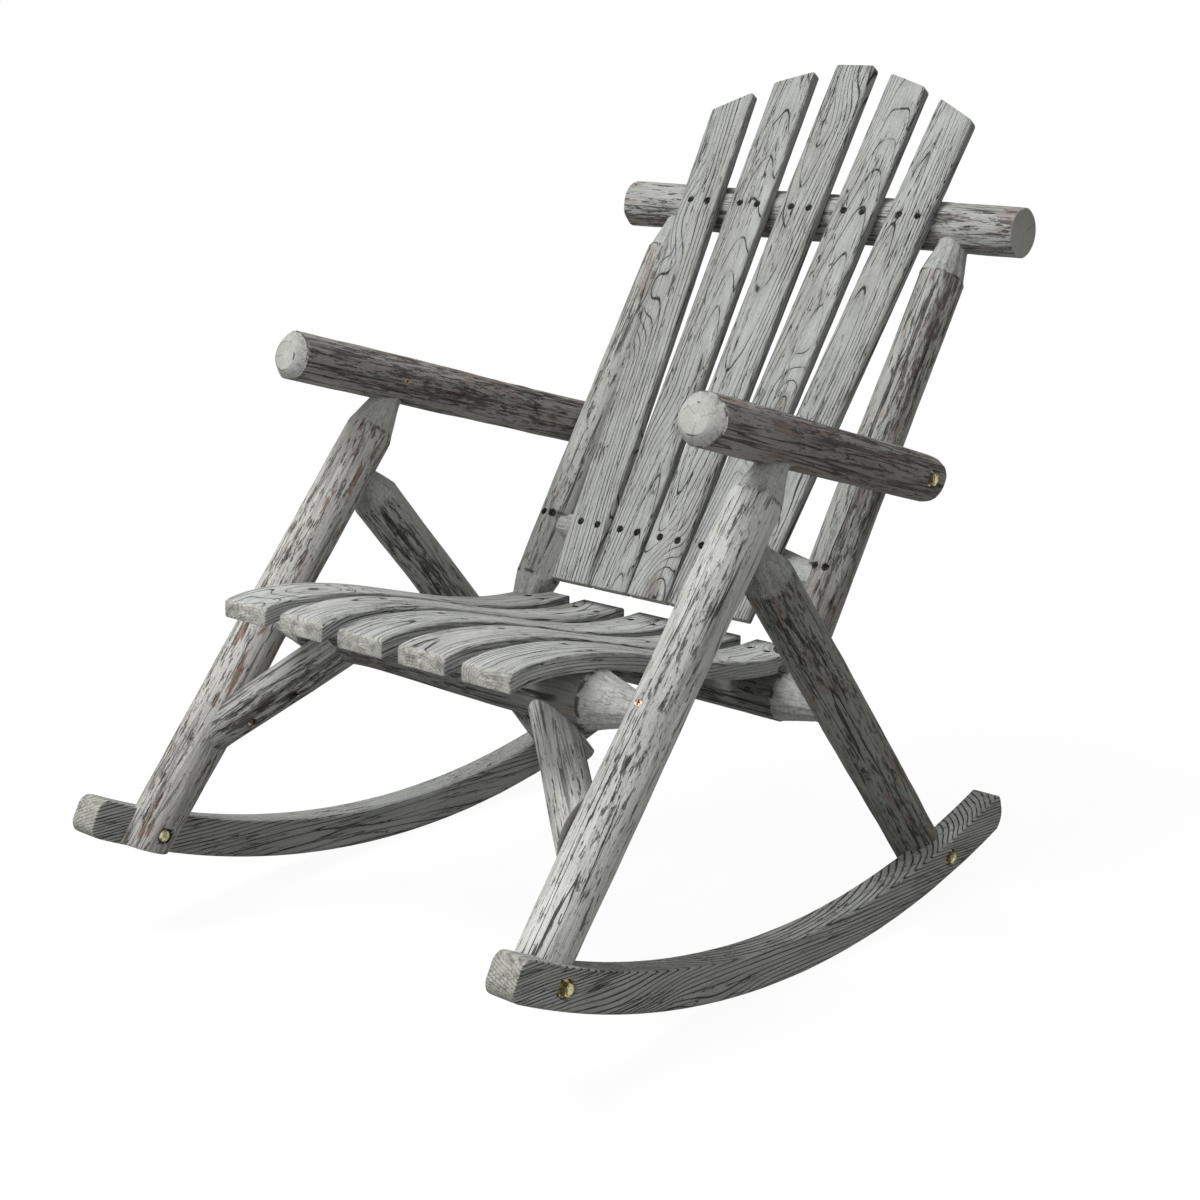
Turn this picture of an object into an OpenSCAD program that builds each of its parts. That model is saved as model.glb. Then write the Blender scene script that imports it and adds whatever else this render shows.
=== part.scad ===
// Log rocking chair: a frame of peeled round logs on two sawn rockers, with a slatted seat and back.
// x runs across the chair, y from front to back and z up. The floor is z = 0, the chair is centred
// on x = 0, and y = 0 lies half way between the rocker noses and the rear corners of the back slats.
// Round ends enter round mortises, legs are half lapped over the rockers, and screws and bolts hold
// the joints. Every hole, seat and cope follows the piece that it receives.

/* [Rockers] */
// Clear width between the two rockers
rocker_clear = 587.4; // [550:0.1:630]
// Thickness of a rocker board
rocker_t = 36.5; // [32:0.5:42]
// Height of the curved rocker board
rocker_depth = 43.7; // [40:0.1:54]
// Radius of a rocker's underside
rocker_r = 1174.7; // [1050:0.1:1350]
// Place along y where the rockers touch the floor
contact_y = 32.3; // [10:0.1:50]
// Place along y of the rocker noses
nose_y = -500; // [-530:0.1:-480]
// Place along y of the rocker heels
heel_y = 395.5; // [370:0.1:430]
// Rounding of the nose corners
nose_round = 14; // [6:1:18]
// Rounding of the lower heel corner
heel_round = 24; // [8:1:28]
// Rounding of the upper heel corner
heel_top_round = 8; // [3:1:12]

/* [Legs] */
// Radius of a front leg
front_leg_r = 28.7; // [26:0.1:31]
// Place along y of the bolt through a front leg
front_foot_y = -424.6; // [-440:0.1:-405]
// Lean of a front leg to the rear
front_leg_lean = 39.2; // [37:0.1:41]
// Lean of a front leg to the middle of the chair
front_leg_splay = 0.6; // [0:0.1:1.2]
// Distance of the front leg's axis inside the rocker face at the bolt
front_leg_inset = 5.3; // [3:0.1:8]
// Length of the carved cone under the armrest, from the armrest's axis
front_leg_cone = 72; // [60:1:90]
// Radius of a rear leg
rear_leg_r = 28.9; // [26:0.1:31]
// Place along y of the bolt through a rear leg
rear_foot_y = 279.4; // [262:0.1:295]
// Distance of the rear leg's axis inside the rocker face at the bolt
rear_leg_inset = 10.6; // [7:0.1:13]
// Height at which the rear leg meets the axis of the front leg
leg_joint_z = 496.8; // [475:0.1:512]
// How far outside the front leg's axis the rear leg meets it
leg_joint_x = 8.5; // [0:0.5:10]
// Length of the carved cone on the rear leg, from the front leg's axis
rear_leg_cone = 64; // [52:1:80]

/* [Seat rails and braces] */
// Height of the front seat rail's axis
front_rail_z = 336.3; // [322:0.1:345]
// Radius of the front seat rail at its left end
front_rail_left_r = 30.2; // [29:0.1:35]
// Radius of the front seat rail at its right end
front_rail_right_r = 33.6; // [32:0.1:38]
// Height of the rear seat rail's axis
rear_rail_z = 267.1; // [257:0.1:277]
// Radius of the rear seat rail
rear_rail_r = 29.4; // [28:0.1:32]
// Length of the carved cone at each end of a seat rail
rail_cone = 48; // [36:1:58]
// Radius of a brace
brace_r = 24; // [22:0.5:28]
// Height at which a brace's axis meets the front leg's axis
brace_leg_z = 206.3; // [196:0.1:216]
// Distance from the middle at which a brace's axis meets the rail's axis
brace_rail_x = 141.6; // [130:0.1:155]

/* [Back frame] */
// Lean of the back from the vertical
recline = 32.6; // [30:0.1:35]
// Distance of a back post's axis from the middle
post_x = 206.5; // [202:0.1:212]
// Radius of a back post
post_r = 28; // [27:0.1:31]
// How far behind the rear rail's axis the post's axis passes
post_setback = 5; // [1:0.1:8]
// Length along the posts from the rear rail to the top rail
back_len = 606.7; // [570:0.1:640]
// Length of the carved cone at the top of a post, from the top rail's axis
post_top_cone = 69; // [58:1:85]
// Length of the carved cone at the foot of a post, from the rear rail
post_foot_cone = 71; // [60:1:85]
// Depth of the shaved flat on the inner front of a post's foot
post_shave = 5; // [2:0.5:8]
// Length of that shaved flat
post_shave_len = 84; // [60:1:100]
// Radius of the top rail
top_rail_r = 29.6; // [28:0.1:32]
// Length of the top rail
top_rail_len = 583.7; // [540:0.1:620]
// Distance along the posts from the rear rail to the lower back rail
lower_rail_s = 142.7; // [130:0.1:160]
// Radius of the lower back rail
lower_rail_r = 28.5; // [27:0.1:30]
// Length of the carved cone at each end of the lower back rail
lower_rail_cone = 43; // [30:1:52]

/* [Back slats] */
// Width of a back slat
slat_w = 57.8; // [54:0.1:59.4]
// Thickness of a back slat
slat_t = 14; // [12:0.5:19]
// Spacing of the slats at their lower ends
slat_pitch = 60; // [59.8:0.1:61.5]
// Angle between neighbouring slats
slat_fan = 2.01; // [1.6:0.01:2.2]
// Length of the slats below the lower back rail
slat_tail = 78; // [55:0.1:84]
// Height of the middle slat above the top rail
slat_rise = 195; // [160:0.1:230]
// How much lower the next slats end, at their middle
inner_drop = 19.7; // [12:0.1:28]
// How much lower the outer slats end, at their middle
outer_drop = 58; // [45:0.1:75]
// Slope of the next slats' tops
inner_slope = 17.8; // [12:0.1:24]
// Slope of the outer slats' tops
outer_slope = 27.5; // [24:0.1:36]
// Rounding of the slats' top corners
slat_round = 5; // [3:0.5:10]
// Depth of the seats cut in the back rails for the slats
slat_seat = 1.5; // [1:0.1:4]

/* [Seat slats] */
// Width of a seat slat
seat_w = 66; // [58:0.1:72]
// Thickness of a seat slat
seat_t = 20; // [16:0.5:24]
// Spacing of the seat slats
seat_pitch = 88.5; // [80:0.1:90]
// How far the seat slats reach in front of the front rail's axis
seat_front = 131.5; // [110:0.1:150]
// How far the seat slats reach behind the rear rail's axis
seat_rear = 35; // [25:0.1:42]
// How far the crest of the seat lies in front of the front rail's axis
crest_ahead = 94; // [80:0.1:105]
// How far behind the rear rail's axis the seat is lowest
dip_behind = 12; // [4:0.1:20]
// Droop of the seat slats' front ends below the crest
seat_droop = 4.3; // [1:0.1:8]
// Rounding of the upper front edge of a seat slat
seat_round = 5; // [2:0.5:7]
// Depth of the seats cut in the seat rails for the slats
seat_sink = 1; // [0.6:0.1:2]
// Room between an outer seat slat's notch and the back post
notch_gap = 2; // [1:0.1:5]

/* [Armrests] */
// Radius of an armrest
arm_r = 28.2; // [26:0.1:31]
// Height at which an armrest's axis meets the front leg's axis
arm_front_z = 587.3; // [572:0.1:600]
// Height at which an armrest's axis crosses the back post
arm_rear_z = 510.4; // [495:0.1:525]
// Reach of an armrest in front of the front leg
arm_front_reach = 172; // [140:1:200]
// Reach of an armrest behind the bolt in the back post
arm_rear_reach = 43; // [38:1:60]
// Depth of the flat where an armrest and a post touch
arm_flat = 0.5; // [0.3:0.1:2]
// Length of the bevel on the armrest's front end
arm_bevel = 10; // [5:0.5:14]
// Rounding of the armrest's rear end
arm_round = 15; // [6:0.5:20]

/* [Round tenons] */
// Radius of the tenons on legs, posts and rails
tenon_r = 15; // [12:0.5:16]
// Radius of the rails' and post feet's carved necks where they meet the next log
neck_r = 19.5; // [17:0.5:22]
// Radius of the legs' carved necks where they meet the next log
leg_neck_r = 17; // [16:0.5:20]
// Depth of the tenons in legs and posts, from the outside of the log
tenon_depth = 40; // [32:1:44]
// Room around a tenon and under a cope
fit_gap = 0.2; // [0.1:0.05:0.3]
// Room beyond a tenon's end
glue_gap = 1; // [0.5:0.1:2]

/* [Bolts and screws] */
// Diameter of the bolts
bolt_d = 8; // [6:0.5:9]
// Diameter of a bolt's domed head
bolt_head_d = 16; // [14:0.5:18]
// Height of a bolt's domed head
bolt_head_h = 4.6; // [3:0.1:6]
// Width of a nut across its flats
nut_af = 13; // [11.5:0.1:14]
// Height of a nut
nut_h = 6.5; // [4:0.1:7]
// Diameter of a washer
washer_d = 18; // [17:0.5:20]
// Thickness of a washer
washer_t = 1.6; // [1:0.1:2.5]
// Diameter of the counterbores for heads, washers and nuts
bore_d = 21; // [20.5:0.5:24]
// Depth of the counterbores at the bolt heads
head_bore = 7; // [5:0.5:9]
// Depth of the counterbores at the nuts
nut_bore = 5.5; // [4:0.5:8]
// Diameter of the screws' shanks
screw_d = 4.4; // [3.5:0.1:5]
// Diameter of the screws' countersunk heads
screw_head_d = 8.6; // [7.5:0.1:9.5]
// Depth of the screw heads below the wood
screw_sink = 0.8; // [0.4:0.1:1.5]
// Length of the slat screws
slat_screw_len = 42; // [36:1:48]
// Length of the screws in the tenons
tenon_screw_len = 45; // [38:1:50]
// Length of the screws in the braces
brace_screw_len = 82; // [76:1:90]
// Distance of a back slat's screws from its middle
slat_screw_x = 13.3; // [9:0.1:18]
// Distance of a seat slat's screws from its middle
seat_screw_x = 17; // [12:0.1:22]

/* [Hidden] */
$fn = 64;

right = 1;
left = -1;
sides = [left, right];
arc_fn = 360;
round_steps = 6;
// Reach of cutting blocks past the piece that they trim
spare = 60;

function unit(v) = v / norm(v);
function swap(p, side) = [side * p[0], p[1], p[2]];
function at_x(p, x) = [x, p[1], p[2]];

// Rocker arcs, all about one line across the chair
rocker_in = rocker_clear / 2;
rocker_top_r = rocker_r - rocker_depth;
rocker_mid_r = rocker_r - rocker_depth / 2;
// How far the legs' feet end above the rockers' undersides
foot_trim = 1.5;
function arc_z(r, y) = rocker_r - sqrt(r * r - (y - contact_y) * (y - contact_y));
function arc_point(r, a) = [contact_y + r * sin(a), rocker_r - r * cos(a)];

// Leg axes, as points for the right side of the chair
front_bolt = [rocker_in - front_leg_inset, front_foot_y, arc_z(rocker_mid_r, front_foot_y)];
front_run = [-tan(front_leg_splay), tan(front_leg_lean), 1];
front_dir = unit(front_run);
function front_leg_at(z) = front_bolt + (z - front_bolt[2]) * front_run;
rear_bolt = [rocker_in - rear_leg_inset, rear_foot_y, arc_z(rocker_mid_r, rear_foot_y)];
leg_joint = front_leg_at(leg_joint_z) + [leg_joint_x, 0, 0];
rear_dir = unit(leg_joint - rear_bolt);
function rear_leg_at(z) = rear_bolt + (z - rear_bolt[2]) / rear_dir[2] * rear_dir;
// How far the legs' logs reach below the bolts before they are trimmed
leg_extra = 90;

// Seat rails cross the legs on the legs' own axes
front_rail = front_leg_at(front_rail_z);
rear_rail = rear_leg_at(rear_rail_z);
front_leg_front = unit([0, -front_dir[2], front_dir[1]]);
rear_leg_rear = unit([0, rear_dir[2], -rear_dir[1]]);

// Back plane, with s measured up the posts from the rear rail
back_dir = [0, sin(recline), cos(recline)];
back_front = [0, -cos(recline), sin(recline)];
post_foot = [post_x, rear_rail[1] + post_setback, rear_rail_z];
function post_at(s) = post_foot + s * back_dir;
top_rail = post_at(back_len);
slat_back = top_rail_r - slat_seat;
lower_rail = post_at(lower_rail_s) + (slat_back + slat_seat - lower_rail_r) * back_front;
slat_foot_s = lower_rail_s - slat_tail;

// Armrest axis from the front leg to the outer side of the post
arm_front = front_leg_at(arm_front_z);
post_cross = post_at((arm_rear_z - rear_rail_z) / cos(recline));
arm_off = post_r + arm_r - 2 * arm_flat;
arm_out = unit(cross(post_cross + [arm_off, 0, 0] - arm_front, back_dir));
arm_rear = post_cross + arm_off * arm_out;
arm_dir = unit(arm_rear - arm_front);
arm_start = arm_front - arm_front_reach * arm_dir;
arm_end = arm_rear + arm_rear_reach * arm_dir;
arm_in = unit([-arm_dir[1], arm_dir[0], 0]);

// Brace axis, in the plane of the front leg and the front rail
brace_low = front_leg_at(brace_leg_z);
brace_high = at_x(front_rail, brace_rail_x);
brace_dir = unit(brace_high - brace_low);
// Depth of the flats where the braces meet the front legs
brace_flat = 1;
brace_face = brace_low[0] - front_leg_r + brace_flat;

// Seat curve: half a cosine wave from the crest to the dip, and a droop before the crest
crest_y = front_rail[1] - crest_ahead;
dip_y = rear_rail[1] + dip_behind;
seat_start = front_rail[1] - seat_front;
seat_end = rear_rail[1] + seat_rear;
function wave(y) = (1 - cos(180 * min(1, max(0, (y - crest_y) / (dip_y - crest_y))))) / 2;
seat_over_rear = rear_rail_z + rear_rail_r - seat_sink;
seat_over_front = front_rail_z + front_rail_left_r - seat_sink;
seat_share = wave(rear_rail[1]) - wave(front_rail[1]);
seat_slope = atan((seat_over_front - seat_over_rear) / seat_share * PI / 2 / (dip_y - crest_y)
    * sin(180 * (front_rail[1] - crest_y) / (dip_y - crest_y)));
seat_rail_lift = (front_rail_left_r - seat_sink) * (1 / cos(seat_slope) - 1);
seat_drop = (seat_over_front + seat_rail_lift - seat_over_rear) / seat_share;
crest_z = seat_over_rear + seat_drop * wave(rear_rail[1]);
function droop(y) = seat_droop * pow(max(0, crest_y - y) / (crest_y - seat_start), 2);
function seat_under(y) = crest_z - seat_drop * wave(y) - droop(y);
seat_steps = 40;
seat_normal = [0, sin(seat_slope), cos(seat_slope)];

// Screws: the head's straight rim, the tip, the room round a screw and the cross recess
screw_rim = 0.6;
screw_head_h = (screw_head_d - screw_d) / 2 + screw_rim;
screw_tip = 1.5 * screw_d;
screw_room = 0.15;
recess_w = 1.1;
recess_l = 4.8;
recess_h = 1.6;
// Bolts: the room round one, its reach past the nut, and its domed head's outline, as shares of the
// head's height and radius
bolt_room = 0.4;
bolt_past_nut = 0.6;
dome = [[0, 0.4], [0.25, 0.72], [0.6, 0.94], [1, 1]];
// How far outside its flats the bevel of a nut starts
nut_bevel = 0.3;
// How far cutters reach past the faces that they open, for small parts and for screw holes
over = 1;
hole_over = 3;
// How deep tenons are rooted in their own logs, in radii of the logs that they enter
tenon_root = 1.5;
// How the armrests' front bevels slope, as depth per length
arm_bevel_slope = 1.2;
// Turn of the posts' shaved flats about the posts, to the inner front
shave_turn = 45;
// Rounding of the slats' lower corners
slat_foot_round = 1;

// Colours of the washed logs and boards, and of the plated and the dark fasteners
log_grey = "#a9aba8";
board_grey = "#b4b6b3";
rocker_grey = "#8d908e";
arm_grey = "#8b8784";
zinc = "#b5a25c";
dark_steel = "#4a4a48";

// Stands the children's z axis on the line from p to q
module along(p, q) {
    d = q - p;
    translate(p)
        rotate([0, acos(d[2] / norm(d)), atan2(d[1], d[0])])
            children();
}

module rod(p, q, r) {
    along(p, q) cylinder(h = norm(q - p), r = r);
}

// A log turned about the line from p to q, with its outline as [distance, radius] pairs
module turned(p, q, outline) {
    last = len(outline) - 1;
    along(p, q)
        rotate_extrude()
            polygon(concat([[0, outline[0][0]]],
                [for (o = outline) [o[1], o[0]]],
                [[0, outline[last][0]]]));
}

// Everything inside an arc about the rockers' line
module arc_disc(r) {
    translate([-rocker_in - rocker_t - spare, contact_y, rocker_r])
        rotate([0, 90, 0])
            cylinder(h = 2 * (rocker_in + rocker_t + spare), r = r, $fn = arc_fn);
}

// Replaces corners of an outline by arcs, each with its own radius
function arc_corner(a, p, b, r) =
    let (u = unit(a - p), v = unit(b - p), half = acos(u * v) / 2,
        c = p + unit(u + v) * r / sin(half),
        s = p + u * r / tan(half) - c, e = p + v * r / tan(half) - c,
        a0 = atan2(s[1], s[0]), turn = atan2(s[0] * e[1] - s[1] * e[0], s * e))
    [for (i = [0 : round_steps]) c + r * [cos(a0 + turn * i / round_steps),
        sin(a0 + turn * i / round_steps)]];
function rounded(pts, radii) =
    let (n = len(pts))
    [for (i = [0 : n - 1])
        each radii[i] > 0
            ? arc_corner(pts[(i + n - 1) % n], pts[i], pts[(i + 1) % n], radii[i])
            : [pts[i]]];

// A wood screw, or the hole for one, with its head's face at p and its tip in direction d
module screw(p, d, length) {
    along(p, p + d)
        difference() {
            rotate_extrude()
                polygon([[0, 0], [screw_head_d / 2, 0], [screw_head_d / 2, screw_rim],
                    [screw_d / 2, screw_head_h], [screw_d / 2, length - screw_tip], [0, length]]);
            for (a = [0, 90])
                rotate([0, 0, a])
                    translate([-recess_l / 2, -recess_w / 2, -over])
                        cube([recess_l, recess_w, recess_h + over]);
        }
}
module screw_hole(p, d, length, open = hole_over) {
    along(p, p + d)
        rotate_extrude()
            polygon([[0, -open], [screw_head_d / 2 + screw_room, -open],
                [screw_head_d / 2 + screw_room, screw_rim],
                [screw_d / 2 + screw_room, screw_head_h + screw_room],
                [screw_d / 2 + screw_room, length - screw_tip], [0, length + screw_room]]);
}

// A bolt from a domed head at p to a nut whose outer face is at q
module bolt(p, q) {
    d = unit(q - p);
    turned(p - bolt_head_h * d, q, concat(
        [for (o = dome) [o[0] * bolt_head_h, o[1] * bolt_head_d / 2]],
        [[bolt_head_h, bolt_d / 2], [norm(q - p) + bolt_head_h + bolt_past_nut, bolt_d / 2]]));
}
module nut(q, d) {
    along(q - nut_h * d, q)
        difference() {
            intersection() {
                cylinder(h = nut_h, r = nut_af / 2 / cos(30), $fn = 6);
                cylinder(h = nut_h, r1 = nut_af / 2 + nut_h, r2 = nut_af / 2 + nut_bevel);
            }
            translate([0, 0, -over])
                cylinder(h = nut_h + 2 * over, r = bolt_d / 2 + screw_room / 2);
        }
}
module washer(q, d) {
    along(q, q + d)
        difference() {
            cylinder(h = washer_t, r = washer_d / 2);
            translate([0, 0, -over])
                cylinder(h = washer_t + 2 * over, r = bolt_d / 2 + bolt_room);
        }
}
module bolt_holes(p, q, d) {
    rod(p - spare * d, q + spare * d, bolt_d / 2 + bolt_room / 2);
    rod(p - spare * d, p, bore_d / 2);
    rod(q, q + spare * d, bore_d / 2);
}

// Rocker bolts, from the counterbore in the leg to the one in the rocker
function rocker_bolt_in(b, r, side) = swap(at_x(b, b[0] - r + head_bore), side);
function rocker_bolt_out(b, side) = swap(at_x(b, rocker_in + rocker_t - nut_bore), side);
module rocker_bolt_holes(side) {
    bolt_holes(rocker_bolt_in(front_bolt, front_leg_r, side), rocker_bolt_out(front_bolt, side),
        [side, 0, 0]);
    bolt_holes(rocker_bolt_in(rear_bolt, rear_leg_r, side), rocker_bolt_out(rear_bolt, side),
        [side, 0, 0]);
}
function nut_face(q, d) = q + (washer_t + nut_h) * d;
arm_bolt_in = post_cross - (post_r - head_bore) * arm_out;
arm_bolt_out = arm_rear + (arm_r - nut_bore) * arm_out;
module arm_bolt_holes(side) {
    bolt_holes(swap(arm_bolt_in, side), swap(arm_bolt_out, side), swap(arm_out, side));
}

// Rockers
nose_low = asin((contact_y - nose_y - nose_round) / (rocker_r - nose_round));
nose_end = nose_low + nose_round / (rocker_r - nose_round) * 180 / PI;
heel_low = asin((heel_y - contact_y - heel_round) / (rocker_r - heel_round));
heel_end = heel_low + heel_round / (rocker_r - heel_round) * 180 / PI;
// A rounded corner of a rocker board's end at angle a, round a centre on the arc of radius r
function end_corner(r, a, way, round, from) =
    let (b = way * (a - round / r * 180 / PI), c = arc_point(r, b))
    [for (i = [0 : round_steps])
        let (t = from + 90 * i / round_steps)
        c + round * (cos(t) * way * [cos(b), sin(b)] + sin(t) * [sin(b), -cos(b)])];
// How far the corners start outside the board, so that they cut its faces
corner_over = 0.2;
// Both corners of an end, from the upper to the lower; way is 1 at the heel and -1 at the nose
function board_end(a, way, upper, lower) =
    concat(end_corner(rocker_top_r + upper - corner_over, a, way, upper, -90),
        end_corner(rocker_r - lower + corner_over, a, way, lower, 0));
function backwards(pts) = [for (i = [len(pts) - 1 : -1 : 0]) pts[i]];
rocker_outline = concat(
    [for (a = [-nose_low, 0, heel_low]) arc_point(rocker_top_r - spare, a)],
    board_end(heel_end, 1, heel_top_round, heel_round),
    [for (a = [heel_low, 0, -nose_low]) arc_point(rocker_r + spare, a)],
    backwards(board_end(nose_end, -1, nose_round, nose_round)));
module rocker(side) {
    color(rocker_grey)
        difference() {
            intersection() {
                difference() {
                    arc_disc(rocker_r);
                    arc_disc(rocker_top_r);
                }
                translate([side > 0 ? rocker_in : -rocker_in - rocker_t, 0, 0])
                    rotate([90, 0, 90])
                        linear_extrude(rocker_t) polygon(rocker_outline);
            }
            rocker_bolt_holes(side);
        }
}

// Slab between two upright planes, each at distance x from the middle
module slab(x) {
    reach = rocker_r;
    translate([-x, -reach, -reach]) cube([2 * x, 2 * reach, 2 * reach]);
}

// How far a tenon in direction a goes past the axis of a log of radius r in direction b
function past_axis(r, a, b) = tenon_depth - r / norm(cross(a, b));
// Height of a log's face above its axis at a distance off to one side
function face_height(r, off) = sqrt(r * r - off * off);
// Distance from a log's axis to its surface in a slanting direction
function slant(r, a, b) = r / norm(cross(a, b));
across = [1, 0, 0];

// The foot of a leg stands on the rocker's top, and its inner half laps the rocker
module foot_room() {
    arc_disc(rocker_top_r - fit_gap);
    intersection() {
        arc_disc(rocker_r - foot_trim);
        slab(rocker_in - fit_gap);
    }
}

// Tenons, and with room their mortises
leg_top = past_axis(arm_r, front_dir, arm_dir);
module leg_tenon(side, room = 0, deep = 0) {
    rod(swap(arm_front - tenon_root * arm_r * front_dir, side),
        swap(arm_front + (leg_top + deep) * front_dir, side), tenon_r + room);
}
strut_top = past_axis(front_leg_r, rear_dir, front_dir);
module strut_tenon(side, room = 0, deep = 0) {
    rod(swap(leg_joint - tenon_root * front_leg_r * rear_dir, side),
        swap(leg_joint + (strut_top + deep) * rear_dir, side), tenon_r + room);
}
module rail_tenons(rail, r, room = 0, deep = 0) {
    reach = rail[0] + tenon_depth - r + deep;
    for (side = sides)
        rod(at_x(rail, side * (rail[0] - tenon_root * r)), at_x(rail, side * reach),
            tenon_r + room);
}
post_top = past_axis(top_rail_r, back_dir, across);
post_bottom = past_axis(rear_rail_r, back_dir, across);
module post_tenons(side, room = 0, deep = 0) {
    rod(swap(post_at(-post_bottom - deep), side),
        swap(post_at(tenon_root * rear_rail_r), side), tenon_r + room);
    rod(swap(post_at(back_len - tenon_root * top_rail_r), side),
        swap(post_at(back_len + post_top + deep), side), tenon_r + room);
}
lower_rail_end = at_x(lower_rail, post_x);

// Plain logs that other pieces are coped over
module front_leg_log(side, room = 0) {
    rod(swap(front_bolt - leg_extra * front_dir, side), swap(arm_front, side), front_leg_r + room);
}
module rear_leg_log(side, room = 0) {
    rod(swap(rear_bolt - leg_extra * rear_dir, side), swap(leg_joint, side), rear_leg_r + room);
}
module arm_log(side, room = 0) {
    rod(swap(arm_start, side), swap(arm_end, side), arm_r + room);
}
module post_log(side, room = 0) {
    rod(swap(post_foot, side), swap(post_at(back_len), side), post_r + room);
}
module brace_log(side, room = 0) {
    rod(swap(brace_low, side), swap(brace_high, side), brace_r + room);
}
// A log between two others, with a carved cone and a neck at each end
module necked_log(p, q, r0, r1, cone, joint_r, room = 0) {
    l = norm(q - p);
    turned(p, q, [[0, neck_r + room], [joint_r, neck_r + room], [joint_r + cone, r0 + room],
        [l - joint_r - cone, r1 + room], [l - joint_r, neck_r + room], [l, neck_r + room]]);
}
module front_rail_log(room = 0) {
    necked_log(at_x(front_rail, -front_rail[0]), front_rail, front_rail_left_r,
        front_rail_right_r, rail_cone, front_leg_r, room);
}
module rear_rail_log(room = 0) {
    necked_log(at_x(rear_rail, -rear_rail[0]), rear_rail, rear_rail_r, rear_rail_r,
        rail_cone, rear_leg_r, room);
}
module top_rail_log(room = 0) {
    half = top_rail_len / 2;
    edge = 1.5;
    turned(at_x(top_rail, -half), at_x(top_rail, half), [[0, top_rail_r - edge + room],
        [edge, top_rail_r + room], [2 * half - edge, top_rail_r + room],
        [2 * half, top_rail_r - edge + room]]);
}

// Screws: each list gives the head's face, the direction and the length, for the right side
rail_screw_off = 6;
front_rail_screw = [
    front_rail - rail_screw_off * across
        + (face_height(front_leg_r, rail_screw_off) - screw_sink) * front_leg_front,
    -front_leg_front, tenon_screw_len];
rear_rail_screw = [
    rear_rail - rail_screw_off * across
        + (face_height(rear_leg_r, rail_screw_off) - screw_sink) * rear_leg_rear,
    -rear_leg_rear, tenon_screw_len];
arm_screw_ahead = 8;
arm_screw = [
    arm_front - arm_screw_ahead * arm_dir + (arm_r - screw_sink) * arm_in,
    -arm_in, tenon_screw_len];
top_rail_screw = [
    at_x(top_rail, post_x) - (top_rail_r - screw_sink) * back_front, back_front, tenon_screw_len];
post_foot_screw = [
    [post_x, rear_rail[1], rear_rail_z] - (rear_rail_r - screw_sink) * back_front,
    back_front, tenon_screw_len];
lower_rail_screw_up = 8;
lower_rail_screw_x = [-6, 8];
function lower_rail_screw(i) =
    let (x = lower_rail_screw_x[i])
    [post_at(lower_rail_s + lower_rail_screw_up) + x * across
        + (face_height(post_r, x) - screw_sink) * back_front, -back_front, tenon_screw_len];
brace_screw_sink = 5;
brace_foot_up = 29;
brace_head_in = 102;
rail_up = unit([0, front_dir[1], front_dir[2]]);
function brace_at(t) = brace_low + t * brace_dir;
brace_foot_screw = [
    brace_at(brace_foot_up / brace_dir[2])
        - (slant(brace_r, brace_dir, across) - brace_screw_sink) * across,
    across, brace_screw_len];
brace_head_screw = [
    brace_at(-brace_head_in / brace_dir[0])
        - (slant(brace_r, brace_dir, rail_up) - brace_screw_sink) * rail_up,
    rail_up, brace_screw_len];
module driven(s, side) {
    screw(swap(s[0], side), swap(s[1], side), s[2]);
}
module driven_hole(s, side, open = hole_over) {
    screw_hole(swap(s[0], side), swap(s[1], side), s[2], open);
}

// Screws of the slats
slat_face = slat_back + slat_t - screw_sink;
function slat_middle(k, s) = k * slat_pitch + tan(slat_fan * k) * (s - slat_foot_s);
upper_screw_drop = 9.5;
upper_screw_s = back_len - upper_screw_drop;
function slat_screws(k, s) =
    [for (x = [-slat_screw_x, slat_screw_x])
        [at_x(post_at(s) + slat_face * back_front, slat_middle(k, s) + x), -back_front,
            slat_screw_len]];
seat_rise_front = (front_rail_left_r - seat_sink) + seat_t * cos(seat_slope) - screw_sink;
seat_rise_rear = rear_rail_r - seat_sink + seat_t - screw_sink;
rear_screw_limit = post_x - tenon_r - 2 * screw_d;
function seat_screw_place(k, x) =
    let (c = k * seat_pitch + x)
    sign(c) * min(abs(c), rear_screw_limit);
function seat_front_screws(k) =
    [for (x = [-seat_screw_x, seat_screw_x])
        [at_x(front_rail + seat_rise_front * seat_normal, k * seat_pitch + x), -seat_normal,
            slat_screw_len]];
function seat_rear_screws(k) =
    [for (x = [-seat_screw_x, seat_screw_x])
        [at_x(rear_rail + [0, 0, seat_rise_rear], seat_screw_place(k, x)), [0, 0, -1],
            slat_screw_len]];
places = [-2 : 2];

// Back slats, drawn in the back's own plane as [x, s]
slat_drop = [0, inner_drop, outer_drop];
slat_slope = [0, inner_slope, outer_slope];
function slat_outline(k, w) =
    let (n = abs(k), way = k < 0 ? -1 : 1, half = w / 2 / cos(slat_fan * n),
        lean = tan(slat_fan * n), fall = tan(slat_slope[n]),
        top = back_len + slat_rise - slat_drop[n], mid = slat_middle(n, top),
        outer = -fall * half / (1 + fall * lean), inner = fall * half / (1 + fall * lean),
        foot = n * slat_pitch)
    [for (p = [[foot - half, slat_foot_s], [foot + half, slat_foot_s],
            [mid + half + outer * lean, top + outer], [mid - half + inner * lean, top + inner]])
        [way * p[0], p[1]]];
module back_plane() {
    translate([0, post_foot[1], post_foot[2]]) rotate([-recline, 0, 0]) children();
}
module slat_blank(k, room = 0) {
    back_plane()
        translate([0, -slat_back + room, 0])
            rotate([90, 0, 0])
                linear_extrude(slat_t + 2 * room)
                    polygon(rounded(slat_outline(k, slat_w + 2 * room),
                        [slat_foot_round, slat_foot_round, slat_round, slat_round]));
}
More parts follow.
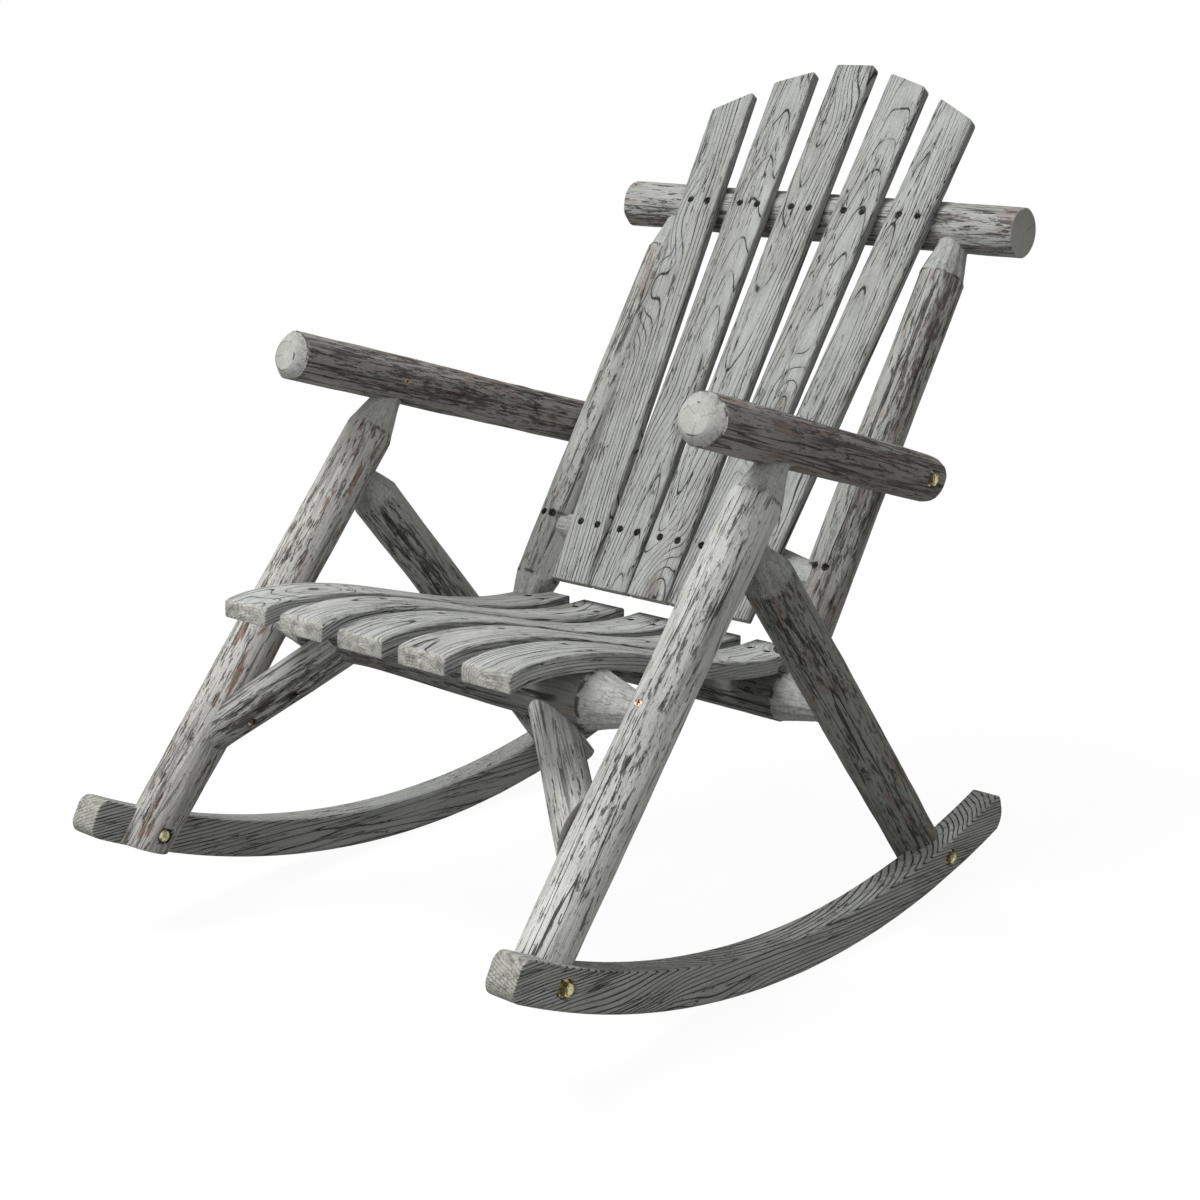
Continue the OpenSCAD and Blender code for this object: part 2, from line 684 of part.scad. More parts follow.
module back_slat(k) {
    color(board_grey)
        difference() {
            slat_blank(k);
            for (s = concat(slat_screws(k, upper_screw_s), slat_screws(k, lower_rail_s)))
                driven_hole(s, right);
        }
}

// Seat slats, drawn from the side as [y, z]
function seat_edge(y) =
    let (d = y - seat_start)
    d < seat_round ? seat_round - sqrt(seat_round * seat_round - pow(seat_round - d, 2)) : 0;
function seat_profile(room) =
    let (nose = [for (i = [0 : round_steps]) seat_start + seat_round * (1 - cos(90 * i / round_steps))],
        rest = [for (i = [1 : seat_steps])
            seat_start + seat_round + (seat_end - seat_start - seat_round) * i / seat_steps],
        ys = concat(nose, rest))
    concat([for (y = ys) [y, seat_under(y) - room]],
        [for (y = backwards(ys)) [y, seat_under(y) + seat_t - seat_edge(y)]]);
module seat_blank(k, room = 0) {
    translate([k * seat_pitch - seat_w / 2 - room, 0, 0])
        rotate([90, 0, 90])
            linear_extrude(seat_w + 2 * room)
                polygon(seat_profile(room));
}
module seat_slat(k) {
    color(board_grey)
        difference() {
            seat_blank(k);
            for (side = sides)
                post_log(side, notch_gap);
            for (s = concat(seat_front_screws(k), seat_rear_screws(k)))
                driven_hole(s, right);
        }
}

// Legs
module front_leg(side) {
    l = norm(arm_front - front_bolt) + leg_extra;
    color(log_grey)
        difference() {
            union() {
                difference() {
                    intersection() {
                        turned(swap(front_bolt - leg_extra * front_dir, side),
                            swap(arm_front, side),
                            [[0, front_leg_r], [l - front_leg_cone, front_leg_r],
                                [l - arm_r, leg_neck_r], [l, leg_neck_r]]);
                        foot_room();
                    }
                    arm_log(side, fit_gap);
                }
                leg_tenon(side);
            }
            rail_tenons(front_rail, front_leg_r, fit_gap, glue_gap);
            strut_tenon(side, fit_gap, glue_gap);
            intersection() {
                brace_log(side, fit_gap);
                slab(brace_face + fit_gap);
            }
            rocker_bolt_holes(side);
            driven_hole(front_rail_screw, side);
            driven_hole(arm_screw, side);
            driven_hole(brace_foot_screw, side);
        }
}
module rear_leg(side) {
    l = norm(leg_joint - rear_bolt) + leg_extra;
    color(log_grey)
        difference() {
            union() {
                difference() {
                    intersection() {
                        turned(swap(rear_bolt - leg_extra * rear_dir, side),
                            swap(leg_joint, side),
                            [[0, rear_leg_r], [l - rear_leg_cone, rear_leg_r],
                                [l - front_leg_r, leg_neck_r], [l, leg_neck_r]]);
                        foot_room();
                    }
                    front_leg_log(side, fit_gap);
                }
                strut_tenon(side);
            }
            rail_tenons(rear_rail, rear_leg_r, fit_gap, glue_gap);
            rocker_bolt_holes(side);
            driven_hole(rear_rail_screw, side);
        }
}

// Seat rails and braces
module front_seat_rail() {
    color(log_grey)
        difference() {
            union() {
                difference() {
                    front_rail_log();
                    for (side = sides)
                        front_leg_log(side, fit_gap);
                }
                rail_tenons(front_rail, front_leg_r);
            }
            for (k = places) {
                seat_blank(k, fit_gap);
                for (s = seat_front_screws(k))
                    driven_hole(s, right);
            }
            for (side = sides) {
                driven_hole(front_rail_screw, side);
                driven_hole(brace_head_screw, side);
            }
        }
}
module rear_seat_rail() {
    color(log_grey)
        difference() {
            union() {
                difference() {
                    rear_rail_log();
                    for (side = sides)
                        rear_leg_log(side, fit_gap);
                }
                rail_tenons(rear_rail, rear_leg_r);
            }
            for (k = places) {
                seat_blank(k, fit_gap);
                for (s = seat_rear_screws(k))
                    driven_hole(s, right);
            }
            for (side = sides) {
                post_tenons(side, fit_gap, glue_gap);
                driven_hole(rear_rail_screw, side);
                driven_hole(post_foot_screw, side);
            }
        }
}
module brace(side) {
    color(log_grey)
        difference() {
            intersection() {
                brace_log(side);
                slab(brace_face);
            }
            front_rail_log(fit_gap);
            driven_hole(brace_foot_screw, side, 2 * brace_r);
            driven_hole(brace_head_screw, side, 2 * brace_r);
        }
}

// Back frame
module post_flat(side) {
    face = post_cross + (post_r - arm_flat) * arm_out;
    along(swap(face, side), swap(face + arm_out, side))
        translate([-spare, -spare, 0]) cube([2 * spare, 2 * spare, spare]);
}
module shaved_flat(side) {
    back_plane()
        translate([side * post_x, 0, post_foot_cone])
            rotate([0, 0, -side * shave_turn])
                translate([-spare, -spare - post_r + post_shave, 0])
                    cube([2 * spare, spare, post_shave_len]);
}
module back_post(side) {
    color(log_grey)
        difference() {
            union() {
                difference() {
                    turned(swap(post_foot, side), swap(post_at(back_len), side),
                        [[0, neck_r], [rear_rail_r, neck_r], [post_foot_cone, post_r],
                            [back_len - post_top_cone, post_r], [back_len - top_rail_r, neck_r],
                            [back_len, neck_r]]);
                    top_rail_log(fit_gap);
                    rear_rail_log(fit_gap);
                }
                post_tenons(side);
            }
            rail_tenons(lower_rail_end, post_r, fit_gap, glue_gap);
            post_flat(side);
            shaved_flat(side);
            slat_blank(2 * side, fit_gap);
            arm_bolt_holes(side);
            driven_hole(top_rail_screw, side);
            driven_hole(post_foot_screw, side);
            for (i = [0, 1])
                driven_hole(lower_rail_screw(i), side);
        }
}
module top_back_rail() {
    color(log_grey)
        difference() {
            top_rail_log();
            for (k = places) {
                slat_blank(k, fit_gap);
                for (s = slat_screws(k, upper_screw_s))
                    driven_hole(s, right);
            }
            for (side = sides) {
                post_tenons(side, fit_gap, glue_gap);
                driven_hole(top_rail_screw, side);
            }
        }
}
module lower_back_rail() {
    color(log_grey)
        difference() {
            union() {
                difference() {
                    necked_log(at_x(lower_rail, -post_x), lower_rail_end, lower_rail_r,
                        lower_rail_r, lower_rail_cone, post_r);
                    for (side = sides)
                        post_log(side, fit_gap);
                }
                rail_tenons(lower_rail_end, post_r);
            }
            for (k = places) {
                slat_blank(k, fit_gap);
                for (s = slat_screws(k, lower_rail_s))
                    driven_hole(s, right);
            }
            for (side = sides, i = [0, 1])
                driven_hole(lower_rail_screw(i), side);
        }
}

// Armrests
module arm_seat(side) {
    face = post_cross + (post_r - arm_flat) * arm_out;
    along(swap(face - spare * arm_out, side), swap(face, side))
        translate([-spare, -spare, 0]) cube([2 * spare, 2 * spare, spare + fit_gap]);
}
module armrest(side) {
    l = norm(arm_end - arm_start);
    color(arm_grey)
        difference() {
            turned(swap(arm_start, side), swap(arm_end, side), concat(
                [[0, arm_r - arm_bevel_slope * arm_bevel], [arm_bevel, arm_r]],
                [for (i = [0 : round_steps])
                    let (t = 90 * i / round_steps)
                    [l - arm_round * (1 - sin(t)), arm_r - arm_round * (1 - cos(t))]]));
            leg_tenon(side, fit_gap, glue_gap);
            arm_seat(side);
            arm_bolt_holes(side);
            driven_hole(arm_screw, side);
        }
}

// Fasteners
module rocker_bolts() {
    color(zinc)
        for (side = sides, b = [[front_bolt, front_leg_r], [rear_bolt, rear_leg_r]])
            bolt(rocker_bolt_in(b[0], b[1], side),
                nut_face(rocker_bolt_out(b[0], side), side * across));
}
module rocker_washers() {
    color(zinc)
        for (side = sides, b = [front_bolt, rear_bolt])
            washer(rocker_bolt_out(b, side), side * across);
}
module rocker_nuts() {
    color(zinc)
        for (side = sides, b = [front_bolt, rear_bolt])
            nut(nut_face(rocker_bolt_out(b, side), side * across), side * across);
}
module armrest_bolts() {
    color(zinc)
        for (side = sides)
            bolt(swap(arm_bolt_in, side), swap(nut_face(arm_bolt_out, arm_out), side));
}
module armrest_washers() {
    color(zinc)
        for (side = sides)
            washer(swap(arm_bolt_out, side), swap(arm_out, side));
}
module armrest_nuts() {
    color(zinc)
        for (side = sides)
            nut(swap(nut_face(arm_bolt_out, arm_out), side), swap(arm_out, side));
}
module pair_of_screws(s, finish) {
    color(finish)
        for (side = sides)
            driven(s, side);
}
module slat_screw_set(k_screws) {
    color(dark_steel)
        for (set = k_screws, s = set)
            driven(s, right);
}

rocker(left);  // rocker_left
rocker(right);  // rocker_right
front_leg(left);  // front_leg_left
front_leg(right);  // front_leg_right
rear_leg(left);  // rear_leg_left
rear_leg(right);  // rear_leg_right
front_seat_rail();
rear_seat_rail();
brace(left);  // brace_left
brace(right);  // brace_right
back_post(left);  // back_post_left
back_post(right);  // back_post_right
top_back_rail();
lower_back_rail();
armrest(left);  // armrest_left
armrest(right);  // armrest_right
back_slat(-2);  // back_slat_1
back_slat(-1);  // back_slat_2
back_slat(0);  // back_slat_3
back_slat(1);  // back_slat_4
back_slat(2);  // back_slat_5
seat_slat(-2);  // seat_slat_1
seat_slat(-1);  // seat_slat_2
seat_slat(0);  // seat_slat_3
seat_slat(1);  // seat_slat_4
seat_slat(2);  // seat_slat_5
rocker_bolts();
rocker_washers();
rocker_nuts();
armrest_bolts();
armrest_washers();
armrest_nuts();
slat_screw_set([for (k = places) slat_screws(k, upper_screw_s)]);  // back_slat_upper_screws
slat_screw_set([for (k = places) slat_screws(k, lower_rail_s)]);  // back_slat_lower_screws
slat_screw_set([for (k = places) seat_front_screws(k)]);  // seat_slat_front_screws
slat_screw_set([for (k = places) seat_rear_screws(k)]);  // seat_slat_rear_screws
pair_of_screws(brace_foot_screw, dark_steel);  // brace_foot_screws
pair_of_screws(brace_head_screw, dark_steel);  // brace_head_screws
pair_of_screws(front_rail_screw, zinc);  // front_rail_screws
pair_of_screws(rear_rail_screw, dark_steel);  // rear_rail_screws
pair_of_screws(arm_screw, dark_steel);  // armrest_screws
pair_of_screws(top_rail_screw, dark_steel);  // top_rail_screws
pair_of_screws(post_foot_screw, dark_steel);  // post_foot_screws
for (i = [0, 1])  // lower_rail_screws
        pair_of_screws(lower_rail_screw(i), dark_steel);
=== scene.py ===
"""Log rocking chair: the finish of its peeled logs, sawn boards, bolts and screws.

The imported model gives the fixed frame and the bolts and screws. Every log, board and rocker is a
surface of its own here, in the same place and at the same size, with worn edges, carved cones, round
seats for the screw heads and its own run of grain. Sizes are in millimetres up to the last step,
where each piece is scaled to metres. x runs across the chair, y from front to back and z up.
"""
import math
import bpy
import numpy as np
from mathutils import Matrix


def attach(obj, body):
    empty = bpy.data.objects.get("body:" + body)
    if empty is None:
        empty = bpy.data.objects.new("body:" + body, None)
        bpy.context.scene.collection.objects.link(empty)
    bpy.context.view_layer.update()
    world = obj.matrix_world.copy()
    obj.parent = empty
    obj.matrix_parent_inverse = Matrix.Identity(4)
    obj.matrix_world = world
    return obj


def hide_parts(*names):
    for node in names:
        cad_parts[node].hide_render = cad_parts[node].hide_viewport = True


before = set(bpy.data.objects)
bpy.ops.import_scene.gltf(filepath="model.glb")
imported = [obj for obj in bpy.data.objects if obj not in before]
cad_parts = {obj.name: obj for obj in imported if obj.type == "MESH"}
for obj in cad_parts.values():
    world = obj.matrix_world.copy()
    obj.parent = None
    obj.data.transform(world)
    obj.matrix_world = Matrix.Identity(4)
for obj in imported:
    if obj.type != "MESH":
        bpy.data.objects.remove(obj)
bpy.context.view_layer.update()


# Sizes of the chair, as in the model

ROCKER_CLEAR, ROCKER_T, ROCKER_DEPTH, ROCKER_R = 587.4, 36.5, 43.7, 1174.7
CONTACT_Y, NOSE_Y, HEEL_Y = 32.3, -500.0, 395.5
NOSE_ROUND, HEEL_ROUND, HEEL_TOP_ROUND = 14.0, 24.0, 8.0
FRONT_LEG_R, FRONT_FOOT_Y, FRONT_LEG_LEAN, FRONT_LEG_SPLAY = 28.7, -424.6, 39.2, 0.6
FRONT_LEG_INSET, FRONT_LEG_CONE = 5.3, 72.0
REAR_LEG_R, REAR_FOOT_Y, REAR_LEG_INSET, REAR_LEG_CONE = 28.9, 279.4, 10.6, 64.0
LEG_JOINT_Z, LEG_JOINT_X = 496.8, 8.5
FRONT_RAIL_Z, FRONT_RAIL_LEFT_R, FRONT_RAIL_RIGHT_R = 336.3, 30.2, 33.6
REAR_RAIL_Z, REAR_RAIL_R, RAIL_CONE = 267.1, 29.4, 48.0
BRACE_R, BRACE_LEG_Z, BRACE_RAIL_X = 24.0, 206.3, 141.6
RECLINE, POST_X, POST_R, POST_SETBACK, BACK_LEN = 32.6, 206.5, 28.0, 5.0, 606.7
POST_TOP_CONE, POST_FOOT_CONE, POST_SHAVE, POST_SHAVE_LEN = 69.0, 71.0, 5.0, 84.0
TOP_RAIL_R, TOP_RAIL_LEN = 29.6, 583.7
LOWER_RAIL_S, LOWER_RAIL_R, LOWER_RAIL_CONE = 142.7, 28.5, 43.0
SLAT_W, SLAT_T, SLAT_PITCH, SLAT_FAN, SLAT_TAIL, SLAT_RISE = 57.8, 14.0, 60.0, 2.01, 78.0, 195.0
SLAT_DROP, SLAT_SLOPE, SLAT_ROUND, SLAT_SEAT = (0.0, 19.7, 58.0), (0.0, 17.8, 27.5), 5.0, 1.5
SEAT_W, SEAT_T, SEAT_PITCH, SEAT_FRONT, SEAT_REAR = 66.0, 20.0, 88.5, 131.5, 35.0
CREST_AHEAD, DIP_BEHIND, SEAT_DROOP, SEAT_ROUND, SEAT_SINK, NOTCH_GAP = 94.0, 12.0, 4.3, 5.0, 1.0, 2.0
ARM_R, ARM_FRONT_Z, ARM_REAR_Z, ARM_FRONT_REACH, ARM_REAR_REACH = 28.2, 587.3, 510.4, 172.0, 43.0
ARM_FLAT, ARM_BEVEL, ARM_BEVEL_SLOPE, ARM_ROUND = 0.5, 10.0, 1.2, 15.0
NECK_R, LEG_NECK_R = 19.5, 17.0
BORE_D, HEAD_BORE, NUT_BORE, SCREW_D, SCREW_HEAD_D, SCREW_SINK = 21.0, 7.0, 5.5, 4.4, 8.6, 0.8
TENON_R, SLAT_SCREW_X, SEAT_SCREW_X, UPPER_SCREW_DROP, BRACE_SCREW_SINK = 15.0, 13.3, 17.0, 9.5, 5.0
RAIL_SCREW_OFF, ARM_SCREW_AHEAD, BRACE_FOOT_UP, BRACE_HEAD_IN = 6.0, 8.0, 29.0, 102.0
LOWER_RAIL_SCREW_UP, LOWER_RAIL_SCREW_X = 8.0, (-6.0, 8.0)
FOOT_TRIM, LEG_EXTRA, BRACE_FLAT = 1.5, 90.0, 1.0


def unit(v):
    """v at length one."""
    v = np.asarray(v, float)
    return v / np.linalg.norm(v)


def swap(p, side):
    """The point or direction p of the right side, or its mirror image on the left side."""
    return np.asarray(p, float) * np.array([side, 1.0, 1.0])


def tan(degrees):
    """Tangent of an angle in degrees."""
    return math.tan(math.radians(degrees))


ACROSS = np.array([1.0, 0.0, 0.0])
ROCKER_IN = ROCKER_CLEAR / 2
ROCKER_MID_R = ROCKER_R - ROCKER_DEPTH / 2
FOOT_R = ROCKER_R - FOOT_TRIM


def arc_z(r, y):
    """Height at y of an arc of radius r about the rockers' line."""
    return ROCKER_R - np.sqrt(r * r - (y - CONTACT_Y) ** 2)


FRONT_BOLT = np.array([ROCKER_IN - FRONT_LEG_INSET, FRONT_FOOT_Y, arc_z(ROCKER_MID_R, FRONT_FOOT_Y)])
FRONT_RUN = np.array([-tan(FRONT_LEG_SPLAY), tan(FRONT_LEG_LEAN), 1.0])
FRONT_DIR = unit(FRONT_RUN)


def front_leg_at(z):
    """Point of the right front leg's axis at height z."""
    return FRONT_BOLT + (z - FRONT_BOLT[2]) * FRONT_RUN


REAR_BOLT = np.array([ROCKER_IN - REAR_LEG_INSET, REAR_FOOT_Y, arc_z(ROCKER_MID_R, REAR_FOOT_Y)])
LEG_JOINT = front_leg_at(LEG_JOINT_Z) + LEG_JOINT_X * ACROSS
REAR_DIR = unit(LEG_JOINT - REAR_BOLT)
FRONT_RAIL = front_leg_at(FRONT_RAIL_Z)
REAR_RAIL = REAR_BOLT + (REAR_RAIL_Z - REAR_BOLT[2]) / REAR_DIR[2] * REAR_DIR
BACK_DIR = np.array([0.0, math.sin(math.radians(RECLINE)), math.cos(math.radians(RECLINE))])
BACK_FRONT = np.array([0.0, -math.cos(math.radians(RECLINE)), math.sin(math.radians(RECLINE))])
POST_FOOT = np.array([POST_X, REAR_RAIL[1] + POST_SETBACK, REAR_RAIL_Z])


def post_at(s):
    """Point of the right post's axis at distance s up from the rear rail."""
    return POST_FOOT + s * BACK_DIR


TOP_RAIL = post_at(BACK_LEN)
SLAT_BACK = TOP_RAIL_R - SLAT_SEAT
LOWER_RAIL = post_at(LOWER_RAIL_S) + (SLAT_BACK + SLAT_SEAT - LOWER_RAIL_R) * BACK_FRONT
SLAT_FOOT_S = LOWER_RAIL_S - SLAT_TAIL
ARM_FRONT = front_leg_at(ARM_FRONT_Z)
POST_CROSS = post_at((ARM_REAR_Z - REAR_RAIL_Z) / math.cos(math.radians(RECLINE)))
ARM_OFF = POST_R + ARM_R - 2 * ARM_FLAT
ARM_OUT = unit(np.cross(POST_CROSS + ARM_OFF * ACROSS - ARM_FRONT, BACK_DIR))
ARM_REAR = POST_CROSS + ARM_OFF * ARM_OUT
ARM_DIR = unit(ARM_REAR - ARM_FRONT)
ARM_START = ARM_FRONT - ARM_FRONT_REACH * ARM_DIR
ARM_END = ARM_REAR + ARM_REAR_REACH * ARM_DIR
ARM_IN = unit([-ARM_DIR[1], ARM_DIR[0], 0.0])
BRACE_LOW = front_leg_at(BRACE_LEG_Z)
BRACE_HIGH = np.array([BRACE_RAIL_X, FRONT_RAIL[1], FRONT_RAIL[2]])
BRACE_DIR = unit(BRACE_HIGH - BRACE_LOW)
BRACE_FACE = BRACE_LOW[0] - FRONT_LEG_R + BRACE_FLAT

CREST_Y, DIP_Y = FRONT_RAIL[1] - CREST_AHEAD, REAR_RAIL[1] + DIP_BEHIND
SEAT_START, SEAT_END = FRONT_RAIL[1] - SEAT_FRONT, REAR_RAIL[1] + SEAT_REAR


def wave(y):
    """Half a cosine wave, from 0 at the crest of the seat to 1 at its dip."""
    return (1 - np.cos(np.pi * np.clip((y - CREST_Y) / (DIP_Y - CREST_Y), 0, 1))) / 2


SEAT_OVER_REAR = REAR_RAIL_Z + REAR_RAIL_R - SEAT_SINK
SEAT_OVER_FRONT = FRONT_RAIL_Z + FRONT_RAIL_LEFT_R - SEAT_SINK
SEAT_SHARE = wave(REAR_RAIL[1]) - wave(FRONT_RAIL[1])
SEAT_SLOPE = math.atan((SEAT_OVER_FRONT - SEAT_OVER_REAR) / SEAT_SHARE * math.pi / 2 / (DIP_Y - CREST_Y)
                       * math.sin(math.pi * (FRONT_RAIL[1] - CREST_Y) / (DIP_Y - CREST_Y)))
SEAT_LIFT = (FRONT_RAIL_LEFT_R - SEAT_SINK) * (1 / math.cos(SEAT_SLOPE) - 1)
SEAT_DROP = (SEAT_OVER_FRONT + SEAT_LIFT - SEAT_OVER_REAR) / SEAT_SHARE
CREST_Z = SEAT_OVER_REAR + SEAT_DROP * wave(REAR_RAIL[1])
SEAT_NORMAL = np.array([0.0, math.sin(SEAT_SLOPE), math.cos(SEAT_SLOPE)])


def seat_under(y):
    """Height of the seat slats' underside: the wave, less a droop that grows with the square of the
    distance in front of the crest."""
    droop = SEAT_DROOP * (np.clip(CREST_Y - y, 0, None) / (CREST_Y - SEAT_START)) ** 2
    return CREST_Z - SEAT_DROP * wave(y) - droop


# Surfaces

# A millimetre in metres
MM = 0.001

# The mesh of a log: the step between rings, the finer step at its screw heads, the gap on each side of
# a mark, the number of sides of a ring, and the least turn between two of its points
LOG_STEP, LOG_FINE, MARK_GAP, LOG_SIDES, LEAST_TURN = 5.0, 0.9, 1.2, 88, 0.008

# Rings of a log's end: on its flat, as shares of the radius, and round its rim, as shares of the quarter
END_FLAT, END_ROUND = (0.0, 0.3, 0.6, 0.85, 1.0), (0.08, 0.2, 0.36, 0.54, 0.72, 0.88)

# Rings of a chamfered end or a board's end: on its flat, on the slope and round the rim
FLAT_RINGS, RIM_RINGS = (0.0, 0.35, 0.7, 0.92), (0.25, 0.5, 0.75)
SLOPE_RINGS = (0.0, 0.06, 0.14, 0.3, 0.5, 0.7, 0.86, 0.94, 1.0)

# A chamfer: the hollow of its slope, the unevenness of its flat, the rise of the flat's rounded edge and
# that edge's share of the slope, and its dark lines as [strength, place on the slope, width]
SLOPE_HOLLOW, FLAT_UNEVEN, EDGE_RISE, EDGE_SHARE = 0.12, 0.06, 0.6, 0.08
OUTER_LINE, INNER_LINE = (0.9, 1, 0.12), (0.8, 0.05, 0.08)

# Swells and ripples of a peeled log, as [height, length]
SWELL, RIPPLE = (0.8, 260), (0.22, 70)

# Knots of a peeled log: one to each stretch of this length, their lowest and greatest height, and how
# far they reach along the log and round it
KNOT_EVERY, KNOT_LOW, KNOT_HIGH, KNOT_LONG, KNOT_WIDE = 260, 0.6, 1.5, 15, 11

# Facets of a carved cone: their number, their depth, and the small cuts on them as [height, length].
# The carving fades in over a short stretch, and a dark seam marks the cone's start
FACETS, FACET_DEPTH, CUTS, CONE_FADE, SEAM_W = 9, 0.9, (0.25, 22), 3.0, 1.3

# A board: steps of its mesh across its faces and its sides, the radius of its long edges, and the
# bevel at its two ends
FACE_STEP, SIDE_STEP, BOARD_EDGE, END_BEVEL = 5.0, 4.0, 2.0, 1.6

# Wear of a board: depth at its edges, the least share of it, half the depth of its hollow faces, the
# width of their rims, and the width of the worn stripe beside an edge
EDGE_WEAR, LEAST_WEAR, FACE_HOLLOW, FACE_RIM, WORN_STRIPE = 0.9, 0.35, 0.12, 6, 5

# The seat of a head: how far above the surface it reaches, and where its narrow wall starts and ends
SEAT_REACH, WALL_IN, WALL_W = 16, 0.5, 0.7

# Dark line or worn edge goes from 0 to 1 on a piece's points. This higher value marks a bore, whose floor
# gets painted shade and a dark stain
BORE_SHADE_MARK = 2

# A log that runs across the chair by more than this share takes its first cross direction elsewhere
MOSTLY_ACROSS = 0.8


def ripple(seed, coords, waves=7):
    """A smooth uneven field of about -1 to 1: the sum of sine waves whose directions, lengths and
    phases are drawn from the seed. coords is a list of arrays, already divided by a wave's length."""
    rng = np.random.default_rng(seed)
    turns = rng.uniform(-1, 1, (waves, len(coords))) * 2 * np.pi
    phase = rng.uniform(0, 2 * np.pi, waves)
    field = sum(np.sin(sum(t * c for t, c in zip(turn, coords)) + ph) for turn, ph in zip(turns, phase))
    return field / math.sqrt(waves * 1.2)


def apart(marks, gap):
    """The sorted marks, less those that follow another within the gap."""
    return marks[np.diff(marks, prepend=-np.inf) > gap]


def dense(start, stop, step, places=(), reach=7.0, fine=0.8):
    """Sorted numbers from start to stop, a step apart, and a fine step apart within reach of places."""
    marks = [np.linspace(start, stop, max(2, int(round((stop - start) / step)) + 1))]
    marks += [np.arange(p - reach, p + reach, fine) for p in places]
    marks = np.unique(np.concatenate(marks))
    marks = marks[(marks > start + fine / 3) & (marks < stop - fine / 3)]
    return np.concatenate([[start], apart(marks, fine / 2), [stop]])


def ease(t):
    """From 0 to 1 with level ends."""
    t = np.clip(t, 0, 1)
    return t * t * (3 - 2 * t)


def seat_heads(points, heads):
    """Presses a round flat seat into a surface at each head. Within the radius of the line through
    the head's middle, points on the head's side move along that line to the seat's floor, and a
    narrow wall joins the floor to the surface. Also gives the share by which each point moved, which
    marks where the seat's floor gets painted shade and a dark stain."""
    bore_shade_share = np.zeros(points.shape[:2])
    for middle, out, radius, floor in heads:
        out = unit(out)
        away = points - np.asarray(middle, float)
        height = away @ out
        off = np.linalg.norm(away - height[..., None] * out, axis=-1)
        share = 1 - ease((off - radius + WALL_IN) / WALL_W)
        share = np.where((height > floor) & (height < SEAT_REACH), share, 0)
        points = points - (share * (height - floor))[..., None] * out
        bore_shade_share = np.maximum(bore_shade_share, share)
    return points, bore_shade_share


def stand(title, data):
    """A new object of the scene."""
    item = bpy.data.objects.new(title, data)
    bpy.context.scene.collection.objects.link(item)
    return item


def skin(name, rings, wood, zone, nodes, material):
    """A closed mesh from rings of points, each joined to the next by four-sided faces, and the first
    and last closed by a fan to their middle. wood holds each point's place in the piece's own timber,
    in metres, and zone its shares of end grain, carving, and dark line or worn edge, which runs higher
    where a bore's floor gets painted shade and a dark stain. Points are in millimetres."""
    n, m = rings.shape[:2]
    ends = [rings[0].mean(0), rings[-1].mean(0)]
    verts = np.concatenate([rings.reshape(-1, 3), ends]) * MM
    wood = np.concatenate([wood.reshape(-1, 3), [wood[0].mean(0), wood[-1].mean(0)]])
    zone = np.concatenate([zone.reshape(-1, 3), [zone[0].mean(0), zone[-1].mean(0)]])
    i, j = np.meshgrid(np.arange(n - 1), np.arange(m), indexing="ij")
    k = (j + 1) % m
    quads = np.stack([i * m + j, i * m + k, (i + 1) * m + k, (i + 1) * m + j], -1).reshape(-1, 4)
    a = np.arange(m)
    b = (a + 1) % m
    first = np.stack([np.full(m, n * m), b, a], -1)
    last = np.stack([np.full(m, n * m + 1), (n - 1) * m + a, (n - 1) * m + b], -1)
    p, q, r, s = (verts[quads[:, c]] for c in range(4))
    volume = np.sum(p * np.cross(q, r)) + np.sum(p * np.cross(r, s))
    if volume < 0:
        quads, first, last = quads[:, ::-1], first[:, ::-1], last[:, ::-1]
    mesh = bpy.data.meshes.new(name)
    loops = np.concatenate([quads.ravel(), first.ravel(), last.ravel()]).astype(np.int32)
    counts = np.concatenate([np.full(len(quads), 4), np.full(2 * m, 3)]).astype(np.int32)
    mesh.vertices.add(len(verts))
    mesh.vertices.foreach_set("co", verts.ravel())
    mesh.loops.add(len(loops))
    mesh.loops.foreach_set("vertex_index", loops)
    mesh.polygons.add(len(counts))
    mesh.polygons.foreach_set("loop_start", np.concatenate([[0], np.cumsum(counts)[:-1]]).astype(np.int32))
    mesh.polygons.foreach_set("loop_total", counts)
    mesh.polygons.foreach_set("use_smooth", np.ones(len(counts), bool))
    mesh.update(calc_edges=True)
    mesh.validate()
    for title, data in (("wood", wood), ("zone", zone)):
        layer = mesh.attributes.new(title, "FLOAT_VECTOR", "POINT")
        layer.data.foreach_set("vector", np.ascontiguousarray(data, float).ravel())
    mesh.materials.append(material)
    piece = stand(name, mesh)
    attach(piece, "root")
    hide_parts(*nodes)
    return piece


def log_axes(start, stop):
    """The start of a log's axis as an array, the direction to its stop, and two directions across it,
    of which the first is level where the log doesn't run across the chair."""
    start = np.asarray(start, float)
    d = unit(np.asarray(stop, float) - start)
    u = unit(np.cross(d, ACROSS if abs(d[0]) < MOSTLY_ACROSS else [0.0, 1.0, 0.0]))
    return start, d, u, np.cross(d, u)


def flat_end(a, b):
    """A plain square cut at the start of a log's axis."""
    return np.zeros_like(a)


